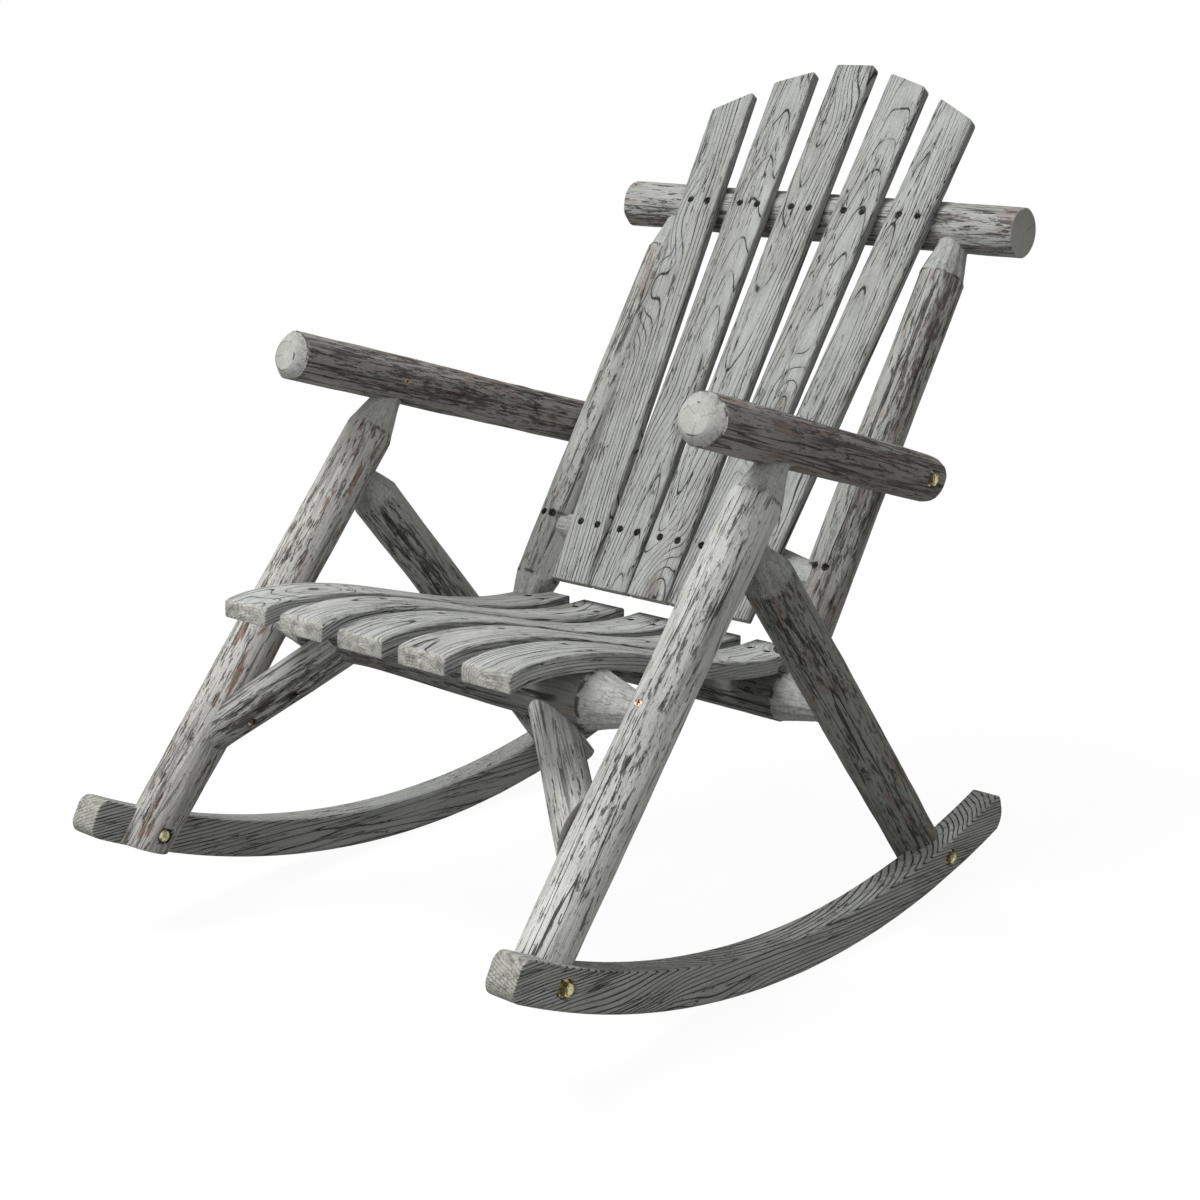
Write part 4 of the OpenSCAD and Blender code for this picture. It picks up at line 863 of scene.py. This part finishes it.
# The seat rails' dark base is painted shade from the seat slats above them; their carved cones keep a pale
# tone
SHADED_SEAT_RAIL_LOG = log_finish("seat_rail_log_painted_shade", srgb(122, 123, 119), srgb(36, 34, 32), (62, 59, 54),
                           brown=0.3, cracks=1.0, flakes=0.6, streaks=0.8, carved_tone=(196, 197, 193))
FLAKY_LOG = log_finish("flaky_log", srgb(172, 173, 168), srgb(34, 32, 30), (66, 62, 57),
                       brown=0.2, cracks=0.8, flakes=1.0, streaks=0.7)
ARM_LOG = log_finish("armrest_log", srgb(150, 148, 143), srgb(42, 38, 36), (80, 72, 67),
                     brown=0.6, cracks=0.9, flakes=0.85, streaks=0.8, end_tone=(184, 184, 179))
SLAT_BOARD = board_finish("back_slat_board", srgb(170, 172, 169), srgb(28, 28, 27), brown=0.2,
                          spacing=0.0030, flecks=0.7, faintest=0.2, bold=1.2, flow=1.1)
SEAT_BOARD = board_finish("seat_slat_board", srgb(188, 190, 188), srgb(42, 42, 40), brown=0.2,
                          spacing=0.0034, flecks=0.8)
ROCKER_BOARD = board_finish("rocker_board", srgb(178, 180, 176), srgb(20, 20, 20), brown=0.15,
                            spacing=0.0033, end_tone=(176, 175, 165), wear=0.4, knotty=0.5, faintest=0.6,
                            across=1, bold=1.45)
ZINC = metal_finish("yellow_zinc", srgb(184, 172, 124), srgb(110, 100, 68), rough=0.35)
PALE_ZINC = metal_finish("pale_zinc", srgb(206, 200, 166), srgb(148, 140, 108), rough=0.30)
COPPERY = metal_finish("coppery_zinc", srgb(190, 164, 138), srgb(124, 92, 66), rough=0.38)
DARK_STEEL = metal_finish("dark_steel", srgb(44, 42, 40), srgb(22, 21, 20), rough=0.6)


# Seats of the heads of screws and bolts, as [middle, outward direction, radius, floor]

SCREW_SEAT_R, SCREW_SEAT_FLOOR, BRACE_SEAT_R = SCREW_HEAD_D / 2 + 0.55, -0.55, 5.2


def dish(middle, out, side, radius=SCREW_SEAT_R, floor=SCREW_SEAT_FLOOR):
    """The seat on one side of the chair, given as it is on the right."""
    return (swap(middle, side), swap(out, side), radius, floor)


def face_height(r, off):
    """Height of a round log's surface above its axis, off its middle line: a circle of radius r."""
    return math.sqrt(r * r - off * off)


FRONT_LEG_FRONT = unit([0, -FRONT_DIR[2], FRONT_DIR[1]])
REAR_LEG_REAR = unit([0, REAR_DIR[2], -REAR_DIR[1]])
FRONT_RAIL_HEAD = FRONT_RAIL - RAIL_SCREW_OFF * ACROSS \
    + (face_height(FRONT_LEG_R, RAIL_SCREW_OFF) - SCREW_SINK) * FRONT_LEG_FRONT
REAR_RAIL_HEAD = REAR_RAIL - RAIL_SCREW_OFF * ACROSS \
    + (face_height(REAR_LEG_R, RAIL_SCREW_OFF) - SCREW_SINK) * REAR_LEG_REAR
ARM_HEAD = ARM_FRONT - ARM_SCREW_AHEAD * ARM_DIR + (ARM_R - SCREW_SINK) * ARM_IN
TOP_RAIL_HEAD = np.array([POST_X, TOP_RAIL[1], TOP_RAIL[2]]) - (TOP_RAIL_R - SCREW_SINK) * BACK_FRONT
POST_FOOT_HEAD = np.array([POST_X, REAR_RAIL[1], REAR_RAIL_Z]) - (REAR_RAIL_R - SCREW_SINK) * BACK_FRONT
LOWER_HEADS = [post_at(LOWER_RAIL_S + LOWER_RAIL_SCREW_UP) + x * ACROSS
               + (face_height(POST_R, x) - SCREW_SINK) * BACK_FRONT for x in LOWER_RAIL_SCREW_X]
RAIL_UP = unit([0, FRONT_DIR[1], FRONT_DIR[2]])
BRACE_FOOT_HEAD = BRACE_LOW + BRACE_FOOT_UP / BRACE_DIR[2] * BRACE_DIR - (
    BRACE_R / np.linalg.norm(np.cross(BRACE_DIR, ACROSS)) - BRACE_SCREW_SINK) * ACROSS
BRACE_TOP_HEAD = BRACE_LOW - BRACE_HEAD_IN / BRACE_DIR[0] * BRACE_DIR - (
    BRACE_R / np.linalg.norm(np.cross(BRACE_DIR, RAIL_UP)) - BRACE_SCREW_SINK) * RAIL_UP
ARM_BOLT_IN = POST_CROSS - (POST_R - HEAD_BORE) * ARM_OUT
ARM_BOLT_OUT = ARM_REAR + (ARM_R - NUT_BORE) * ARM_OUT


def leg_bolt_seat(bolt, r, side):
    """The bore that sinks a rocker bolt's head into the inner side of a leg of radius r."""
    return dish([bolt[0] - r + HEAD_BORE, bolt[1], bolt[2]], -ACROSS, side, BORE_D / 2, 0.0)


def slat_middle(k, s):
    """Place across of back slat k's middle line at s along the back: it leans out by its fan angle."""
    return k * SLAT_PITCH + tan(SLAT_FAN * k) * (s - SLAT_FOOT_S)


# Cuts at the ends of the logs

def arc_cut(start, stop, r):
    """The cut of an arc of radius r about the rockers' line through a log: for a place (a, b) of its
    cross section, the distance along the axis at which a line beside it comes inside the arc."""
    start, d, u, v = log_axes(start, stop)

    def cut(a, b):
        """The nearer crossing of the line at (a, b) with the arc."""
        a, b = np.asarray(a), np.asarray(b)
        py = start[1] + a * u[1] + b * v[1] - CONTACT_Y
        pz = start[2] + a * u[2] + b * v[2] - ROCKER_R
        aa = d[1] ** 2 + d[2] ** 2
        bb = py * d[1] + pz * d[2]
        cc = py ** 2 + pz ** 2 - r * r
        return (-bb - np.sqrt(np.maximum(bb * bb - aa * cc, 0))) / aa
    return cut


def plane_cut(start, stop, point, normal):
    """The cut of a plane through a log, given in the same way."""
    start, d, u, v = log_axes(start, stop)
    normal = unit(normal)
    base = (np.asarray(point, float) - start) @ normal

    def cut(a, b):
        """The distance along the log's axis at which the line at (a, b) meets the plane."""
        return (base - np.asarray(a) * (u @ normal) - np.asarray(b) * (v @ normal)) / (d @ normal)
    return cut


# Logs

# Turn of a log's timber that brings its worn side to the front right, and the armrests' share on top
WORN_TO_FRONT, ARM_TURN = 2.4, 0.6

# How far the flat of an armrest's front end lies off its middle
ARM_FLAT_OFF = 1.5, 2.5


def front_leg(side, title):
    """From the rocker's underside to inside the armrest, with a cone at the top."""
    past = 6
    foot, top = swap(FRONT_BOLT - LEG_EXTRA * FRONT_DIR, side), swap(ARM_FRONT + past * FRONT_DIR, side)
    full = np.linalg.norm(ARM_FRONT - FRONT_BOLT) + LEG_EXTRA
    outline = [(0, FRONT_LEG_R), (full - FRONT_LEG_CONE, FRONT_LEG_R), (full - ARM_R, LEG_NECK_R),
               (full + past, LEG_NECK_R)]
    heads = [leg_bolt_seat(FRONT_BOLT, FRONT_LEG_R, side), dish(FRONT_RAIL_HEAD, FRONT_LEG_FRONT, side)]
    seed, finish = (11, LEG_LOG) if side > 0 else (12, WORN_LOG)
    log(title, [title], foot, top, outline, seed, finish, first=arc_cut(foot, top, FOOT_R), heads=heads,
        cones=[(full - FRONT_LEG_CONE, full)])


def rear_leg(side, title):
    """From the rocker's underside to inside the front leg, with a cone at the top."""
    foot, top = swap(REAR_BOLT - LEG_EXTRA * REAR_DIR, side), swap(LEG_JOINT, side)
    full = np.linalg.norm(LEG_JOINT - REAR_BOLT) + LEG_EXTRA
    outline = [(0, REAR_LEG_R), (full - REAR_LEG_CONE, REAR_LEG_R), (full - FRONT_LEG_R, LEG_NECK_R),
               (full, LEG_NECK_R)]
    heads = [leg_bolt_seat(REAR_BOLT, REAR_LEG_R, side), dish(REAR_RAIL_HEAD, REAR_LEG_REAR, side)]
    # The right rear leg's finish has a darker base, which is painted shade
    seed, finish = (21, SHADED_DARK_LOG) if side > 0 else (22, FLAKY_LOG)
    log(title, [title], foot, top, outline, seed, finish, first=arc_cut(foot, top, FOOT_R), heads=heads,
        cones=[(full - REAR_LEG_CONE, full)], spin=WORN_TO_FRONT)


def seat_rails():
    """The front rail is thicker at its right end. Both have a cone at each end."""
    post_feet = [dish(POST_FOOT_HEAD, -BACK_FRONT, side) for side in (-1, 1)]
    for title, rail, r0, r1, joint, seed, heads in (
            ("front_seat_rail", FRONT_RAIL, FRONT_RAIL_LEFT_R, FRONT_RAIL_RIGHT_R, FRONT_LEG_R, 31, []),
            ("rear_seat_rail", REAR_RAIL, REAR_RAIL_R, REAR_RAIL_R, REAR_LEG_R, 32, post_feet)):
        full = 2 * rail[0]
        outline = [(0, NECK_R), (joint, NECK_R), (joint + RAIL_CONE, r0), (full - joint - RAIL_CONE, r1),
                   (full - joint, NECK_R), (full, NECK_R)]
        # The rails' finish holds painted shade from the seat above
        log(title, [title], swap(rail, -1), rail, outline, seed, SHADED_SEAT_RAIL_LOG,
            heads=heads, cones=[(joint + RAIL_CONE, 0), (full - joint - RAIL_CONE, full)])


def brace(side, title):
    """From a flat on the inner face of the front leg into the front rail."""
    low, high = swap(BRACE_LOW, side), swap(BRACE_HIGH, side)
    full = np.linalg.norm(BRACE_HIGH - BRACE_LOW)
    heads = [dish(BRACE_FOOT_HEAD, -ACROSS, side, BRACE_SEAT_R),
             dish(BRACE_TOP_HEAD, -RAIL_UP, side, BRACE_SEAT_R)]
    seed, finish = (41, BRACE_LOG) if side > 0 else (42, FLAKY_LOG)
    log(title, [title], low, high, [(0, BRACE_R), (full, BRACE_R)], seed, finish,
        first=plane_cut(low, high, swap([BRACE_FACE, 0, 0], side), ACROSS), heads=heads, bevels=(0.8, 1.5))


def back_post(side, title):
    """From inside the rear rail to inside the top rail, with a cone at each end, and a shaved flat on
    the inner front corner above the foot."""
    foot, top = swap(POST_FOOT, side), swap(post_at(BACK_LEN), side)
    outline = [(0, NECK_R), (REAR_RAIL_R, NECK_R), (POST_FOOT_CONE, POST_R),
               (BACK_LEN - POST_TOP_CONE, POST_R), (BACK_LEN - TOP_RAIL_R, NECK_R), (BACK_LEN, NECK_R)]
    out = unit(BACK_FRONT + np.array([-side, 0, 0]))

    def shave(points):
        """Presses what stands past the shaved flat back on to it, between its two ends."""
        away = points - foot
        s = away @ BACK_DIR
        height = away @ out
        share = ease((s - POST_FOOT_CONE + 3) / 3) * ease((POST_FOOT_CONE + POST_SHAVE_LEN - s) / 2)
        return points - (share * np.maximum(height - POST_R + POST_SHAVE, 0))[..., None] * out

    heads = [dish(h, BACK_FRONT, side) for h in LOWER_HEADS]
    heads.append(dish(ARM_BOLT_IN, -ARM_OUT, side, BORE_D / 2, 0.0))
    log(title, [title], foot, top, outline, 51 if side > 0 else 53, RAIL_LOG,
        heads=heads, cones=[(POST_FOOT_CONE, 0), (BACK_LEN - POST_TOP_CONE, BACK_LEN)], shape=shave,
        spin=WORN_TO_FRONT)


def back_rails():
    """The top rail is a plain log with square ends. The lower one has a cone at each end."""
    half = TOP_RAIL_LEN / 2
    left, right = TOP_RAIL * [0, 1, 1] - [half, 0, 0], TOP_RAIL * [0, 1, 1] + [half, 0, 0]
    heads = [dish(TOP_RAIL_HEAD, -BACK_FRONT, side) for side in (-1, 1)]
    log("top_back_rail", ["top_back_rail"], left, right, [(0, TOP_RAIL_R), (2 * half, TOP_RAIL_R)], 61,
        RAIL_LOG, heads=heads, bevels=(2.0, 2.0))
    left, right = LOWER_RAIL * [0, 1, 1] - [POST_X, 0, 0], LOWER_RAIL * [0, 1, 1] + [POST_X, 0, 0]
    full = 2 * POST_X
    outline = [(0, NECK_R), (POST_R, NECK_R), (POST_R + LOWER_RAIL_CONE, LOWER_RAIL_R),
               (full - POST_R - LOWER_RAIL_CONE, LOWER_RAIL_R), (full - POST_R, NECK_R), (full, NECK_R)]
    log("lower_back_rail", ["lower_back_rail"], left, right, outline, 62, RAIL_LOG,
        cones=[(POST_R + LOWER_RAIL_CONE, 0), (full - POST_R - LOWER_RAIL_CONE, full)])


def armrest(side, title):
    """A log with a broad bevel in front and a round rear end."""
    start, stop = swap(ARM_START, side), swap(ARM_END, side)
    heads = [dish(ARM_HEAD, ARM_IN, side), dish(ARM_BOLT_OUT, ARM_OUT, side, BORE_D / 2, 0.0)]
    full = np.linalg.norm(ARM_END - ARM_START)
    log(title, [title], start, stop, [(0, ARM_R), (full, ARM_R)], 71 if side > 0 else 72, ARM_LOG,
        heads=heads, bevels=(ARM_BEVEL, ARM_ROUND),
        spin=WORN_TO_FRONT + ARM_TURN * side,
        chamfer=(ARM_R - ARM_BEVEL_SLOPE * ARM_BEVEL, *ARM_FLAT_OFF))


# Boards

# Where the heart of the tree lay for each slat: its place in the section, and its slant
SLAT_HEARTS = (-60, -70, 0.02), (14, -16, 0.045), (-10, -34, -0.035), (8, -26, 0.05), (-16, -12, 0.03)
SEAT_HEARTS = (12, -30, 0.02), (-18, -22, -0.03), (6, -18, 0.03), (-8, -40, 0.02), (20, -26, -0.02)

# The same for the rockers, which were sawn from straight planks, and the slope of the planks' grain
ROCKER_HEART_X, LEFT_HEART_UP, RIGHT_HEART_UP, PLANK_SLANT = -52, 25, -45, 0.06


def back_slat(k):
    """A straight slat, square to the back's plane, with a slanting top whose corners are rounded."""
    n = abs(k)
    way = -1 if k < 0 else 1
    lean, slope = tan(SLAT_FAN * k), tan(SLAT_SLOPE[n]) * way
    top = BACK_LEN + SLAT_RISE - SLAT_DROP[n]
    wide = 1 / math.cos(math.radians(SLAT_FAN * n))

    def last(u, w):
        """The slanting top: where the slat's own line at u crosses the line of the top."""
        x = u * wide
        s = top - slope * x / (1 + slope * lean)
        e = np.clip(SLAT_W / 2 - np.abs(u), 0, SLAT_ROUND)
        return s - (SLAT_ROUND - np.sqrt(np.maximum(SLAT_ROUND ** 2 - (SLAT_ROUND - e) ** 2, 0)))

    def place(u, w, s):
        """The slat stands on the back's plane and leans out from its foot."""
        x = slat_middle(k, s) + u * wide
        flat = POST_FOOT * [0, 1, 1]
        front = (SLAT_BACK + w)[..., None] * BACK_FRONT
        return flat + x[..., None] * ACROSS + s[..., None] * BACK_DIR + front

    upper, lower = BACK_LEN - UPPER_SCREW_DROP, LOWER_RAIL_S
    heads = []
    for s in (upper, lower):
        for x in (-SLAT_SCREW_X, SLAT_SCREW_X):
            middle = post_at(s) * [0, 1, 1] + (slat_middle(k, s) + x) * ACROSS \
                + (SLAT_BACK + SLAT_T - SCREW_SINK) * BACK_FRONT
            heads.append((middle, BACK_FRONT, SCREW_SEAT_R, SCREW_SEAT_FLOOR))
    title = f"back_slat_{k + 3}"
    board(title, [title], SLAT_W, SLAT_T, lambda u, w: SLAT_FOOT_S + 0 * u, last, place, 100 + k,
          SLAT_BOARD, SLAT_HEARTS[k + 2], places=(upper, lower),
          across=(-SLAT_SCREW_X, SLAT_SCREW_X), heads=heads)


def seat_slat(k):
    """A slat sawn to the seat's wave, notched round the post where it is an outer one."""
    c = k * SEAT_PITCH

    def first(u, w):
        """The square front end, rounded along its upper edge."""
        d = np.clip(w - (SEAT_T - SEAT_ROUND), 0, SEAT_ROUND)
        return SEAT_START + SEAT_ROUND - np.sqrt(SEAT_ROUND ** 2 - d ** 2)

    def place(u, w, y):
        """The slat follows the wave, and its section is drawn in beside the post."""
        left, right = c - SEAT_W / 2 + 0 * y, c + SEAT_W / 2 + 0 * y
        if abs(k) == 2:
            z = seat_under(y) + w
            middle = POST_FOOT[1] + (z - REAR_RAIL_Z) * tan(RECLINE)
            reach = POST_R + NOTCH_GAP
            gap = (y - middle) * math.cos(math.radians(RECLINE)) / reach
            cut = POST_X - reach * np.sqrt(np.clip(1 - gap ** 2, 0, 1))
            right = np.where(k > 0, np.minimum(right, np.where(np.abs(gap) < 1, cut, right)), right)
            left = np.where(k < 0, np.maximum(left, np.where(np.abs(gap) < 1, -cut, left)), left)
        x = left + (u + SEAT_W / 2) / SEAT_W * (right - left)
        return np.stack([x, y + 0 * x, seat_under(y) + w], -1)

    limit = POST_X - TENON_R - 2 * SCREW_D
    heads = []
    rise = (FRONT_RAIL_LEFT_R - SEAT_SINK) + SEAT_T * math.cos(SEAT_SLOPE) - SCREW_SINK
    for x in (-SEAT_SCREW_X, SEAT_SCREW_X):
        front = FRONT_RAIL * [0, 1, 1] + rise * SEAT_NORMAL + (c + x) * ACROSS
        heads.append((front, SEAT_NORMAL, SCREW_SEAT_R, SCREW_SEAT_FLOOR))
        at = math.copysign(min(abs(c + x), limit), c + x)
        rear = REAR_RAIL * [0, 1, 1] + [at, 0, REAR_RAIL_R - SEAT_SINK + SEAT_T - SCREW_SINK]
        heads.append((rear, np.array([0, 0, 1.0]), SCREW_SEAT_R, SCREW_SEAT_FLOOR))
    title = f"seat_slat_{k + 3}"
    front_y, rear_y = float(heads[0][0][1]), float(heads[1][0][1])
    board(title, [title], SEAT_W, SEAT_T, first, lambda u, w: SEAT_END + 0 * u, place, 120 + k, SEAT_BOARD,
          SEAT_HEARTS[k + 2], step=6.0, places=(front_y, rear_y),
          across=sorted({round(float(h[0][0] - c), 2) for h in heads}), heads=heads)


def rocker(side, title):
    """A board sawn to a ring about the rockers' line. Its nose is rounded top and bottom, and its
    heel is rounded more below than above."""
    nose = math.asin((CONTACT_Y - NOSE_Y - NOSE_ROUND) / (ROCKER_R - NOSE_ROUND)) \
        + NOSE_ROUND / (ROCKER_R - NOSE_ROUND)
    heel = math.asin((HEEL_Y - CONTACT_Y - HEEL_ROUND) / (ROCKER_R - HEEL_ROUND)) \
        + HEEL_ROUND / (ROCKER_R - HEEL_ROUND)

    def corner(w, low, high):
        """How far a rounded end falls back at height w above the underside."""
        below = np.clip(low - w, 0, low)
        above = np.clip(w - (ROCKER_DEPTH - high), 0, high)
        return low - np.sqrt(low ** 2 - below ** 2) + high - np.sqrt(high ** 2 - above ** 2)

    def first(u, w):
        """The nose's cut."""
        return -nose * ROCKER_R + corner(w, NOSE_ROUND, NOSE_ROUND)

    def last(u, w):
        """The heel's cut."""
        return heel * ROCKER_R - corner(w, HEEL_ROUND, HEEL_TOP_ROUND)

    def place(u, w, s):
        """The board follows the arc, with its distances measured along the underside."""
        a, r = s / ROCKER_R, ROCKER_R - w
        x = side * (ROCKER_IN + ROCKER_T / 2) + u
        return np.stack([x + 0 * a, CONTACT_Y + r * np.sin(a), ROCKER_R - r * np.cos(a)], -1)

    heads, places = [], []
    for bolt in (FRONT_BOLT, REAR_BOLT):
        nut = [ROCKER_IN + ROCKER_T - NUT_BORE, bolt[1], bolt[2]]
        heads.append(dish(nut, ACROSS, side, BORE_D / 2, 0.0))
        places.append(float(ROCKER_R * math.atan2(bolt[1] - CONTACT_Y, ROCKER_R - bolt[2])))

    def grain(u, w, s):
        """The grain of the plank that the rocker was sawn from runs straight, not round the curve."""
        a, r = s / ROCKER_R, ROCKER_R - w
        along = r * np.sin(a)
        return u, ROCKER_R - r * np.cos(a) + PLANK_SLANT * along, along

    heart = (ROCKER_HEART_X * side, LEFT_HEART_UP if side < 0 else RIGHT_HEART_UP, 0.0)
    board(title, [title], ROCKER_T, ROCKER_DEPTH, first, last, place, 140 + side, ROCKER_BOARD,
          heart, step=8.0, places=places, down=(ROCKER_DEPTH / 2,), heads=heads, fine=0.9,
          grain=grain)


for side, word in ((-1, "left"), (1, "right")):
    rocker(side, "rocker_" + word)
    front_leg(side, "front_leg_" + word)
    rear_leg(side, "rear_leg_" + word)
    brace(side, "brace_" + word)
    back_post(side, "back_post_" + word)
    armrest(side, "armrest_" + word)
seat_rails()
back_rails()
for k in range(-2, 3):
    back_slat(k)
    seat_slat(k)

# Bolts and screws keep the model's shape

for title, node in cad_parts.items():
    if title.endswith(("_bolts", "_washers", "_nuts", "_screws")):
        dark = title.startswith(("back_slat", "seat_slat", "lower_rail"))
        node.data.materials.clear()
        plain = COPPERY if title.endswith("_screws") else PALE_ZINC if title.endswith("_bolts") else ZINC
        node.data.materials.append(DARK_STEEL if dark else plain)


# Floor, light and camera, in metres and watts

# Half the floor's width, its tone under the chair, and the stretch over which it turns plain white
FLOOR_HALF, FLOOR_TONE, SHADOW_NEAR, SHADOW_FAR = 9, 0.35, 0.8, 1.6

# Near the chair the floor's white is stronger, and takes up a smaller share
NEAR_WHITE, NEAR_SHARE = 1.19, 0.8

# Light of the room on the chair, and the lamps: name, place, width and power
ROOM_LIGHT = 0.34
LAMPS = (("key", (-1.1, -1.9, 3.9), 1.8, 134.0), ("fill", (0.8, -3.4, 1.4), 2.2, 21.0))
LAMP_AIM = (0.0, 0.0, 0.45)

# Camera: its place, the turn round the chair, rise and roll in degrees, lens and film in millimetres
CAMERA_PLACE = (1.53311, -1.83425, 0.97185)
CAMERA_TURN, CAMERA_RISE, CAMERA_ROLL, CAMERA_LENS, CAMERA_FILM = 39.766, 14.391, 1.2113, 63.8694, 36


def plain_floor():
    """A pale floor. It shows white, and the chair's soft shadow stays on it."""
    r = Recipe(bpy.data.materials.new("pale_floor"))
    cloth = r.tree.nodes.new("ShaderNodeBsdfDiffuse")
    r.put(cloth.inputs["Color"], (FLOOR_TONE, FLOOR_TONE, FLOOR_TONE))
    x, y, _ = r.parts(r.tree.nodes.new("ShaderNodeTexCoord").outputs["Object"])
    away = r.away(x, y)
    white = r.white_light("ShaderNodeEmission", r.band(away, SHADOW_NEAR, SHADOW_FAR, NEAR_WHITE, 1.0))
    share = r.times(r.seen(), r.band(away, SHADOW_NEAR, SHADOW_FAR, NEAR_SHARE, 1.0))
    r.mix(share, cloth.outputs[0], white)
    mesh = bpy.data.meshes.new("floor")
    h = FLOOR_HALF
    mesh.from_pydata([(-h, -h, 0), (h, -h, 0), (h, h, 0), (-h, h, 0)], [], [(0, 1, 2, 3)])
    mesh.materials.append(r.owner)
    floor = stand("floor", mesh)


def studio():
    """An even pale room, white where it is seen, with a broad soft lamp high on the front left and a
    weaker one in front."""
    world = bpy.data.worlds.new("studio")
    bpy.context.scene.world = world
    r = Recipe(world, "ShaderNodeOutputWorld")
    r.mix(r.seen(), r.white_light("ShaderNodeBackground", ROOM_LIGHT),
          r.white_light("ShaderNodeBackground", 1.0))
    for title, place, width, power in LAMPS:
        lamp = bpy.data.lights.new(title, "AREA")
        lamp.shape = "DISK"
        lamp.size = width
        lamp.energy = power
        item = stand(title, lamp)
        item.location = place
        aim = np.array(LAMP_AIM) - np.array(place)
        item.rotation_euler = (math.acos(-unit(aim)[2]), 0, math.atan2(aim[1], aim[0]) - math.pi / 2)


def camera():
    """Front right of the chair and a little above it, turned a little about its own line of sight."""
    turn, rise, roll = (math.radians(a) for a in (CAMERA_TURN, CAMERA_RISE, CAMERA_ROLL))
    back = np.array([math.sin(turn) * math.cos(rise), -math.cos(turn) * math.cos(rise), math.sin(rise)])
    right = np.array([math.cos(turn), math.sin(turn), 0.0])
    up = np.cross(back, right)
    across = math.cos(roll) * right + math.sin(roll) * up
    upward = -math.sin(roll) * right + math.cos(roll) * up
    lens = bpy.data.cameras.new("camera")
    lens.sensor_width = CAMERA_FILM
    lens.lens = CAMERA_LENS
    item = stand("camera", lens)
    rows = [[across[i], upward[i], back[i], CAMERA_PLACE[i]] for i in range(3)]
    item.matrix_world = Matrix(rows + [[0, 0, 0, 1]])
    bpy.context.scene.camera = item


plain_floor()
studio()
camera()
bpy.context.scene.view_settings.view_transform = "Standard"
